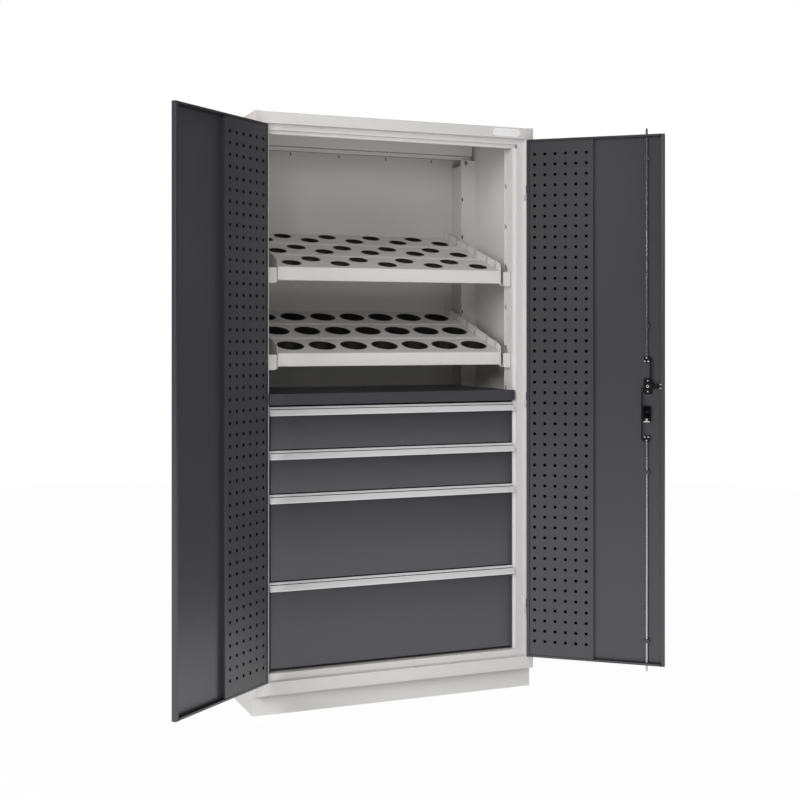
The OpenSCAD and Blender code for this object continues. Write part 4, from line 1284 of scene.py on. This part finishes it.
@dataclass
class Drawer:
    """One drawer: its folded front, the drawn handle and the plain body behind."""

    shop: Workshop
    number: int
    low: float
    high: float
    half: float = 463.5
    front: float = 45.0
    deep: float = 15.0
    sheet: float = 1.2
    handle_half: float = 469.0
    handle_reach: float = 19.0
    handle_h: float = 30.5
    cap: float = 3.0

    @property
    def body(self) -> str:
        """The body that the drawer is, which starts the names of its solids."""
        return f"drawer_{self.number}"

    def build(self) -> None:
        """Builds the front and the handle and dresses the body."""
        self.pan()
        self.handle()
        self.painted_groove_shade()
        self.shop.finishes.dress(Finish.DARK, f"{self.body}_box")
        self.shop.finishes.dress(Finish.ZINC, f"{self.body}_slides", f"{self.body}_carriers")

    def pan(self) -> None:
        """Builds the folded front."""
        m = Maker(self.shop)
        z0, z1 = self.low + 3.0, self.high - 1.0
        y0, y1 = self.front, self.front + self.deep
        wide, sheet, lip = self.half, self.sheet, 15.0
        shape = [(y1, z0 + lip), (y1, z0), (y0, z0), (y0, z1), (y1, z1), (y1, z1 - lip)]
        m.prism(fold(shape, sheet, 0.9, left=False), "X", -wide, wide)
        for s in SIGNS:
            m.block((s * wide, y0 + 0.8, z0 + 0.8), (s * (wide - sheet), y1, z1 - 0.8), 0.2)
            m.block((s * wide, y1 - sheet, z0 + 14), (s * (wide - lip), y1, z1 - 14), 0.2)
        m.finish(f"{self.body}_front_pan", self.body, Finish.DARK, f"{self.body}_front")

    def handle(self) -> None:
        """Builds the drawn handle rail with its end caps."""
        m = Maker(self.shop)
        h, y1 = self.handle_h, self.front
        y0 = y1 - self.handle_reach
        shape = [(y1, 0), (y1 - 3.0, 0), (y1 - 4.6, -1.0), (y1 - 7.9, -7.2), (y1 - 7.2, -8.1),
                 (y1 - 8.6, -8.6), (y0 + 0.6, 5.4 - h), (y0, 4.2 - h), (y0, 0.8 - h), (y0 + 0.8, -h),
                 (y0 + 2.0, -h), (y0 + 2.6, 0.8 - h), (y0 + 2.6, 4.0 - h), (y1 - 5.6, -5.6),
                 (y1 - 2.6, -3.4), (y1 - 2.0, -5.0), (y1 - 2.0, 0.4 - h), (y1, 0.4 - h)]
        inner = self.handle_half - self.cap - 0.1
        m.prism([(y, self.high + dz) for y, dz in shape], "X", -inner, inner)
        cap = [(y1, 0), (y1 - 3.6, 0), (y1 - 5.0, -1.6), (y0, 4.5 - h), (y0, 1.0 - h),
               (y0 + 1.0, -h), (y1, -h)]
        for s in SIGNS:
            m.prism([(y, self.high + dz) for y, dz in cap], "X",
                    s * (self.handle_half - self.cap), s * self.handle_half, 0.4)
        m.finish(f"{self.body}_handle_rail", self.body, Finish.HANDLE, f"{self.body}_handle")

    def painted_groove_shade(self) -> None:
        """Builds a black strip of painted shade over the handle's groove, standing in for the shade inside
        it.
        """
        m = Maker(self.shop)
        y, z = self.front, self.high
        inner = self.handle_half - self.cap - 0.2
        # Painted shade: a black strip in front of the groove stands in for the shade inside it.
        m.prism([(y - 7.6, z - 7.3), (y - 9.3, z - 7.5), (y - 9.9, z - 9.4), (y - 7.6, z - 9.4)],
                "X", -inner, inner)
        m.finish(f"{self.body}_handle_groove", self.body, Finish.LOCK)


class Side(Enum):
    """The two doors."""

    LEFT = "left"
    RIGHT = "right"


@dataclass
class Door:
    """One door: a folded pan with a perforated panel, drawn shut and turned open."""

    shop: Workshop
    side: Side
    opened: float = 140.5
    hinge: Point = (505.0, -4.6)
    x0: float = 2.0
    x1: float = 503.0
    y0: float = 1.0
    y1: float = 19.0
    z0: float = 122.5
    z1: float = 2024.5
    sheet: float = 1.2
    lip_free: float = 12.0
    lip_hinge: float = 11.0
    lip_end: float = 8.0
    pitch: float = 38.0
    hole: float = 10.6
    cols: int = 6
    rows: int = 48
    grid_x1: float = 491.3
    grid_z0: float = 164.0
    margin: float = 8.0
    gap: float = 0.5
    bend: float = 2.6
    barrel_z: Point = (0.4, 28.4)
    hinge_heights: tuple[float, ...] = (302.0, 1066.0, 1830.0)

    @property
    def body(self) -> str:
        """The body that the door is."""
        return f"{self.side.value}_door"

    def turn(self) -> Matrix:
        """Gives the move from the shut door to where it is drawn."""
        hinge = Matrix.Translation((*self.hinge, 0.0))
        opened = hinge @ Matrix.Rotation(math.radians(self.opened), 4, "Z") @ hinge.inverted()
        return MIRROR @ opened if self.side is Side.LEFT else opened

    def start(self) -> Maker:
        """Starts a piece on the door."""
        return Maker(self.shop, self.turn())

    def build(self) -> None:
        """Builds the pan and the panel."""
        self.pan()
        self.panel()

    def pan(self) -> None:
        """Builds the folded pan with its hinge barrels."""
        m = self.start()
        x0, x1, y0, y1, z0, z1, t = self.x0, self.x1, self.y0, self.y1, self.z0, self.z1, self.sheet
        free = x0 + self.lip_free
        section = [(free, y1), (x0, y1), (x0, y0), (x1, y0), (x1, y1), (x1 - self.lip_hinge, y1)]
        m.prism(fold(section, t, 1.0), "Z", z0 + 3, z1 - 3)
        for end, way in ((z0, 1.0), (z1, -1.0)):
            flange = [(y0, end + way * 3), (y0, end), (y1, end), (y1, end + way * self.lip_end)]
            m.prism(fold(flange, t, 1.0, left=way > 0), "X", free + 5, x1 - 1.6)
            short = [(y0, end + way * 3), (y0, end), (y1 - 1.0, end)]
            m.prism(fold(short, t, 1.0, left=way > 0), "X", x0, free + 5)
            m.block((x0, y1 - t, end + way * 1.4), (free, y1, end + way * 3.2))
            m.block((x0, y0 + 1.0, end), (x0 + t, y1 - 0.6, end + way * 3.2))

        def barrel(maker: Maker) -> None:
            """Adds the door's half of a hinge: barrel, leaf and neck."""
            low, high = self.barrel_z
            maker.lathe([(3.05, low + 0.4), (3.4, low), (4.1, low), (4.5, low + 0.5), (4.5, high - 0.5),
                         (4.1, high), (3.4, high), (3.05, high - 0.4)], (*self.hinge, 0.0), (0, 0, 1), 28)
            maker.block((x1 - 26, y0 - 1.5, low), (x1, y0 + 0.2, high), 0.4)
            maker.block((x1 - 6, self.hinge[1], low), (self.hinge[0] - 3.6, y0 + 0.2, high), 0.2)

        m.spread(barrel, [(0.0, 0.0, z) for z in self.hinge_heights], Finish.DARK)
        m.finish(f"{self.body}_pan", self.body, Finish.DARK, f"door_{self.side.value}")

    def panel(self) -> None:
        """Builds the perforated panel on the inside of the door, and behind it a black sheet of painted shade
        that darkens the holes.
        """
        m = self.start()
        t, bend, face, skin = self.sheet, self.bend, self.y1, self.y0 + self.sheet
        grid_x0 = self.grid_x1 - self.cols * self.pitch
        left, right = grid_x0 - self.margin, self.grid_x1
        low, high = self.z0 + self.lip_end + self.gap, self.z1 - self.lip_end - self.gap
        holes = [(grid_x0 + (i + 0.5) * self.pitch, self.grid_z0 + (j + 0.5) * self.pitch,
                  self.hole, self.hole, False) for i in range(self.cols) for j in range(self.rows)]
        m.punch((left + bend, low + bend), (right - bend, high - bend), t, holes,
                Matrix.Translation((0.0, face, 0.0)) @ FACING, Finish.DARK, 0.06, 40)
        for at, way in ((left, 1.0), (right, -1.0)):
            step = fold([(at + way * bend, face), (at, face), (at, skin)], t, 1.2, left=way > 0)
            m.prism(step, "Z", low + bend, high - bend)
        for at, way in ((low, 1.0), (high, -1.0)):
            edge = fold([(skin, at), (face, at), (face, at + way * bend)], t, 1.2, left=way > 0)
            m.prism(edge, "X", left, right)
        side = self.side.value
        m.finish(f"{side}_perforated_panel", self.body, Finish.DARK, f"panel_{side}")
        m = self.start()
        # Painted shade: a black sheet on the skin behind the holes stands in for the shade inside them.
        m.block((left + 1.5, skin + 0.1, low + 1.5), (right - 1.5, skin + 0.5, high - 1.5), 0.1)
        m.finish(f"{side}_panel_lining", self.body, Finish.LINING)


@dataclass
class RodPlan:
    """What sets one lock rod apart from the other."""

    body: str
    node: str
    way: float
    tip: float
    foot: float
    strip: float
    strip_w: float


@dataclass
class Lock:
    """The rod lock inside the right door, with its lever outside."""

    shop: Workshop
    door: Door
    x: float = 62.4
    z: float = 1122.5
    plug_x: float = 65.4
    plug_z: float = 1031.0
    plug_r: float = 5.0
    rod_x: float = 66.0
    rod_y: float = 10.0
    rod_r: float = 4.0
    skin: float = 2.2
    case_y: float = 12.0
    link_y: tuple[float, float] = (15.5, 17.5)
    pin_path: float = 17.0
    pin_r: float = 2.5
    slot_half: float = 3.3
    head_half: float = 6.0
    upper_foot: float = 96.0
    lower_foot: float = 188.0
    top: float = 2047.5
    bottom: float = 99.5
    guide_in: float = 120.0
    guide_end: float = 110.0

    @property
    def pin(self) -> float:
        """How far each pin of the cam lies from the spindle, across and in height."""
        return self.pin_path * math.sin(math.radians(45))

    def build(self) -> None:
        """Builds the lock."""
        self.case()
        self.plug()
        self.cam()
        self.lever()
        self.rod(RodPlan("rod_up", "rod_upper", 1.0, self.top, self.z + self.upper_foot,
                         self.x - 14.5, 6.0))
        self.rod(RodPlan("rod_down", "rod_lower", -1.0, self.bottom, self.z - self.lower_foot,
                         self.x + 17.7, 4.8))
        self.guides()
        self.screws()

    def case(self) -> None:
        """Builds the lock case and the box of the lock cylinder with its dark cover."""
        x, z, px, pz = self.x, self.z, self.plug_x, self.plug_z
        face = self.link_y[1]
        m = self.door.start()
        m.prism(rounded((x - 15, z - 28), (x + 15, z + 28), (3, 3, 3, 3)), "Y", self.skin, self.case_y, 0.5)
        box = rounded((px - 13, pz - 38), (px + 14, pz + 21), (2, 2, 2, 2))
        m.prism(box, "Y", self.skin, face - 1.5, 0.6)
        m.finish("lock_case_box", "right_door", Finish.LOCK, "lock_case")
        m = self.door.start()
        cover = rounded((px - 12.5, pz - 22), (px + 13.5, pz + 18), (2, 2, 2, 2))
        m.prism(cover, "Y", face - 1.7, face, 0.4)
        m.finish("lock_case_cover", "right_door", Finish.LINING, "lock_case")

    def plug(self) -> None:
        """Builds the plug that the key turns, with its bar on the cover."""
        m = self.door.start()
        x, z, face = self.plug_x, self.plug_z, self.link_y[1]
        m.rod((x, 1.0, z), (x, face + 0.5, z), self.plug_r)
        m.block((x - 9, face + 0.3, z - 2), (x + 9, face + 1.8, z + 2))
        m.finish("lock_plug_turned", "key_plug", Finish.LOCK, "lock_plug")

    def cam(self) -> None:
        """Builds the cam with its pins and tongue, and its bright washer and hook."""
        x, z = self.x, self.z
        y0, y1 = self.case_y + 0.5, self.case_y + 3.0
        m = self.door.start()
        bar = [(-7.0, -17.0), (7.0, -17.0), (9.0, -6.0), (9.0, 6.0), (7.0, 17.0), (-7.0, 17.0),
               (-9.0, 6.0), (-9.0, -6.0)]
        diagonal = Matrix.Translation((x, 0.0, z)) @ Matrix.Rotation(math.radians(-45), 4, "Y")
        m.prism(bar, "Y", y0, y1, 0.4, diagonal)
        m.prism(rounded((x - 50, z - 8), (x, z + 8), (3, 0, 0, 3)), "Y", y0 + 0.1, y1 - 0.1, 0.3)
        for s in SIGNS:
            px, pz = x - s * self.pin, z + s * self.pin
            m.rod((px, y1 - 0.5, pz), (px, self.link_y[1] + 0.8, pz), self.pin_r)
        m.finish("lock_cam_plate", "lock_turn", Finish.LOCK, "lock_cam")
        m = self.door.start()
        m.lathe([(2.6, 0), (5.2, 0), (5.2, 1.2), (4.2, 1.8), (3.0, 1.8), (2.6, 1.0)],
                (x, y1 - 0.1, z), (0, 1, 0), 24)
        hook = [(-50.5, -9.0), (-44.0, -9.0), (-42.5, -7.0), (-42.5, -5.0), (-47.5, -5.5),
                (-48.5, -3.0), (-48.5, 3.0), (-47.5, 5.5), (-42.5, 5.0), (-42.5, 7.0),
                (-44.0, 9.0), (-50.5, 9.0)]
        m.prism([(x + dx, z + dz) for dx, dz in hook], "Y", y0 - 0.2, y1 + 2.2, 0.3)
        m.finish("lock_cam_pins", "lock_turn", Finish.ZINC, "lock_cam")

    def lever(self) -> None:
        """Builds the lever outside the door, with its spindle and boss."""
        x, z = self.x, self.z
        m = self.door.start()
        m.rod((x, -2.0, z), (x, self.case_y + 0.5, z), 6.0)
        m.lathe([(0, 0), (11, 0), (12, 1), (12, 10), (10.5, 14.5), (0, 14.5)], (x, 0.5, z), (0, -1, 0), 40)
        grip = [(-5.5, -71), (5.5, -71), (8, -66), (8, -10), (6, 9), (3, 12), (-3, 12), (-6, 9),
                (-8, -10), (-8, -66)]
        m.prism([(x + dx, z + dz) for dx, dz in grip], "Y", -22.0, -13.0, 2.0)
        m.finish("lock_lever", "lock_turn", Finish.LOCK, "lock_handle")

    def rod(self, plan: RodPlan) -> None:
        """Builds one rod: the drawn bar, its screws and its link with the slotted head.

        Args:
            plan: Body, solid, way, ends and strip of the rod.
        """
        r, x, s, foot = self.rod_r, self.rod_x, plan.way, plan.foot
        run = abs(plan.tip - foot)
        m = self.door.start()
        m.lathe([(0, 0), (r - 0.5, 0), (r, 0.5), (r, run - 9), (r * 0.82, run - 5),
                 (r * 0.5, run - 1.6), (r * 0.25, run - 0.3), (0, run)], (x, self.rod_y, foot), (0, 0, s), 28)
        m.finish(f"{plan.node}_drawn", plan.body, Finish.ROD, plan.node)
        m = self.door.start()
        for dx, dz in ((-6.0, -6.5), (6.5, -6.5), (0.0, 6.0)):
            m.lathe([(0, 0), (2.9, 0), (2.9, 1.0), (2.0, 1.9), (0, 2.2)],
                    (x + dx, self.link_y[1] - 0.2, foot + s * dz), (0, 1, 0), 16)
        m.finish(f"{plan.node}_screws", plan.body, Finish.ZINC, plan.node)
        self._link(plan)

    def _link(self, plan: RodPlan) -> None:
        """Builds a rod's link: foot, pad, strip and the head round the cam's pin.

        Args:
            plan: Body, solid, way, ends and strip of the rod.
        """
        m = self.door.start()
        s, x, foot, (y0, y1) = plan.way, self.rod_x, plan.foot, self.link_y
        under = self.rod_y - self.rod_r + 1
        left, right = plan.strip, plan.strip + plan.strip_w
        m.block((min(left, x - self.rod_r), under, foot), (max(right, x + self.rod_r), y1, foot + s * 6), 0.8)
        m.block((x - 9, under, foot - 11), (x + 9, y1 - 0.1, foot + 11), 1.0)
        pin_z = self.z + s * self.pin
        m.block((left, y0, pin_z + s * 5), (right, y1, foot + s), 0.3)
        near, far = self.pin - self.pin_r, self.pin_path + self.pin_r
        head = sorted((self.x - s * (near - 3), self.x - s * (far + 3)))
        slot = sorted((self.x - s * (near - 0.8), self.x - s * (far + 0.8)))
        low, high = pin_z - self.head_half, pin_z + self.head_half
        m.block((head[0], y0, pin_z + self.slot_half), (head[1], y1, high), 0.2)
        m.block((head[0], y0, low), (head[1], y1, pin_z - self.slot_half), 0.2)
        m.block((head[0], y0, low + 0.3), (slot[0], y1, high - 0.3), 0.2)
        m.block((slot[1], y0, low + 0.3), (head[1], y1, high - 0.3), 0.2)
        m.finish(f"{plan.node}_link", plan.body, Finish.LOCK, plan.node)

    def guides(self) -> None:
        """Builds the rod guides."""
        out = self.rod_r + 1.5
        gap = self.rod_r + 0.1
        back = self.skin - self.rod_y

        def guide(m: Maker) -> None:
            """Adds one guide round the rod."""
            m.block((-9, back, -7), (-gap, out, 7), 0.5)
            m.block((gap, back, -7), (9, out, 7), 0.5)
            m.block((-gap - 0.3, gap, -7), (gap + 0.3, out, 7), 0.4)
            m.block((-gap - 0.3, back, -7), (gap + 0.3, -gap, 7), 0.4)

        heights = (self.bottom + self.guide_end, self.z - self.lower_foot - self.guide_in,
                   self.z + self.upper_foot + self.guide_in, self.top - self.guide_end)
        m = self.door.start()
        m.spread(guide, [(self.rod_x, self.rod_y, z) for z in heights], Finish.DARK)
        m.finish("rod_guides", "right_door", Finish.DARK, "lock_fixings")

    def screws(self) -> None:
        """Builds the screws of the case and the small clip at the foot of the cylinder's box."""
        m = self.door.start()
        for s in SIGNS:
            m.lathe([(0, 0), (1.9, 0), (1.9, 5.0), (2.6, 5.0), (2.4, 5.4), (0, 5.4)],
                    (self.x, self.case_y - 5, self.z + s * 19), (0, 1, 0), 20)
        x, face, bar = self.plug_x, self.link_y[1], self.plug_z - 37.5
        m.block((x - 11, face - 1.6, bar), (x + 11, face + 0.6, bar + 4.0), 0.4)
        m.block((x - 3, face - 1.6, bar + 3.5), (x + 3, face + 0.2, bar + 13.0), 0.4)
        m.finish("lock_screws", "right_door", Finish.ZINC, "lock_fixings")


@dataclass
class Studio:
    """The floor, the light and the camera at the photograph's place."""

    eye: Spot = (-1.7441, -4.5951, 1.3106)
    yaw: float = 22.1
    lens: float = 58.72
    sensor: float = 36.0
    shift: float = -0.0829
    ambient: float = 0.40
    mirrored: float = 0.14
    floor_seen: float = 0.97
    floor_r: float = 7.0
    floor_sides: int = 96

    def build(self) -> None:
        """Sets up the camera, the floor and the light."""
        self.camera()
        self.floor()
        self.world()
        self.lamp("key_light", (-1.2, -4.2, 2.6), (0.1, -0.2, 1.0), (1.8, 1.4), 20.0)
        self.lamp("left_light", (-3.6, -2.2, 2.4), (0.4, -0.3, 1.1), (1.0, 1.6), 92.0)
        self.lamp("spark_light", (-2.4, -4.4, 2.4), (0.3, -0.4, 1.1), (0.4, 0.4), 10.0, True)
        self.lamp("low_fill", (-0.4, -2.6, 0.10), (0.0, -0.4, 0.25), (3.0, 0.5), 17.0)
        bpy.context.scene.view_settings.view_transform = "Standard"

    def camera(self) -> None:
        """Places the camera level, as the photograph was taken."""
        data = bpy.data.cameras.new("camera")
        data.lens = self.lens
        data.sensor_width = self.sensor
        data.shift_y = self.shift
        data.clip_end = 60.0
        eye = bpy.data.objects.new("camera", data)
        eye.location = self.eye
        eye.rotation_euler = (math.radians(90.0), 0.0, math.radians(-self.yaw))
        bpy.context.scene.collection.objects.link(eye)
        bpy.context.scene.camera = eye

    def floor(self) -> None:
        """Lays a pale floor that shows white and keeps a part of its shadow."""
        shade = Shade("studio_floor")
        camera, shine, through = (shade.node("ShaderNodeLightPath", {}, {}, f"Is {ray} Ray")
                                  for ray in ("Camera", "Glossy", "Transmission"))
        seen = (camera * self.floor_seen + shine + through).clamp()
        tone = shade.blend(shade.noise(1.5), (0.86, 0.86, 0.86), (0.90, 0.90, 0.90))
        dull = shade.node("ShaderNodeBsdfDiffuse", {}, {"Color": tone})
        glow = shade.node("ShaderNodeEmission", {}, {"Color": (1.0, 1.0, 1.0, 1.0), "Strength": 1.0})
        mixed = shade.node("ShaderNodeMixShader", {}, {0: seen, 1: dull, 2: glow})
        shade.tree.links.new(mixed.socket, shade.out.inputs[0])
        data = bpy.data.meshes.new("studio_floor")
        angles = [2 * math.pi * k / self.floor_sides for k in range(self.floor_sides)]
        ring = [(self.floor_r * math.cos(a), self.floor_r * math.sin(a), 0.0) for a in angles]
        data.from_pydata(ring, [], [list(range(self.floor_sides))])
        data.materials.append(shade.material)
        ground = bpy.data.objects.new("studio_floor", data)
        bpy.context.scene.collection.objects.link(ground)

    def world(self) -> None:
        """Makes the surroundings white to the eye, softer as a light and dim in reflections."""
        world = bpy.data.worlds.new("studio_world")
        world.use_nodes = True
        tree = world.node_tree
        tree.nodes.clear()
        path = tree.nodes.new("ShaderNodeLightPath")
        white = tree.nodes.new("ShaderNodeBackground")
        white.inputs["Color"].default_value = (1.0, 1.0, 1.0, 1.0)
        strength: Optional[bpy.types.NodeSocket] = None
        for ray, seen in (("Camera", 1.0), ("Transmission", 1.0), ("Glossy", self.mirrored)):
            step = tree.nodes.new("ShaderNodeMath")
            step.operation = "MULTIPLY_ADD"
            step.inputs[1].default_value = seen - self.ambient
            step.inputs[2].default_value = self.ambient
            tree.links.new(path.outputs[f"Is {ray} Ray"], step.inputs[0])
            if strength:
                tree.links.new(strength, step.inputs[2])
            strength = step.outputs[0]
        tree.links.new(strength, white.inputs["Strength"])
        out = tree.nodes.new("ShaderNodeOutputWorld")
        tree.links.new(white.outputs[0], out.inputs[0])
        bpy.context.scene.world = world

    def lamp(self, name: str, place: Spot, aim: Spot, size: Point, power: float,
             mirrored: bool = False) -> None:
        """Hangs a soft lamp.

        Args:
            name: Its name.
            place: Where it hangs.
            aim: What it points at.
            size: Width and height of its face.
            power: Its power in watts.
            mirrored: Shows it in reflections.
        """
        data = bpy.data.lights.new(name, "AREA")
        data.shape = "RECTANGLE"
        data.size, data.size_y = size
        data.energy = power
        lamp = bpy.data.objects.new(name, data)
        lamp.location = place
        lamp.rotation_euler = (Vector(aim) - Vector(place)).to_track_quat("-Z", "Y").to_euler()
        lamp.visible_camera = False
        lamp.visible_glossy = mirrored
        bpy.context.scene.collection.objects.link(lamp)


UPPER_TIER_Z = 1544.0
LOWER_TIER_Z = 1242.0
DRAWER_UNIT = 151.5
DRAWER_FOOT = 148.0
DRAWER_UNITS = (1, 1, 2, 2)


def main() -> None:
    """Builds the studio and every piece, in order."""
    logging.basicConfig(level=logging.INFO, format="%(name)s: %(message)s")
    Studio().build()
    shop = Workshop(Finishes(), Repeats())
    Carcass(shop).build()
    tiers = [Tier(shop, TierKind.UPPER, UPPER_TIER_Z), Tier(shop, TierKind.LOWER, LOWER_TIER_Z)]
    for tier in tiers:
        tier.build()
    RailClips(shop, tiers).build()
    DrawerBlock(shop).build()
    high = DRAWER_FOOT + sum(DRAWER_UNITS) * DRAWER_UNIT
    for number, units in enumerate(DRAWER_UNITS, start=1):
        Drawer(shop, number, high - units * DRAWER_UNIT, high).build()
        high -= units * DRAWER_UNIT
    doors = {side: Door(shop, side) for side in Side}
    for door in doors.values():
        door.build()
    Lock(shop, doors[Side.RIGHT]).build()


if __name__ == "__main__":
    main()
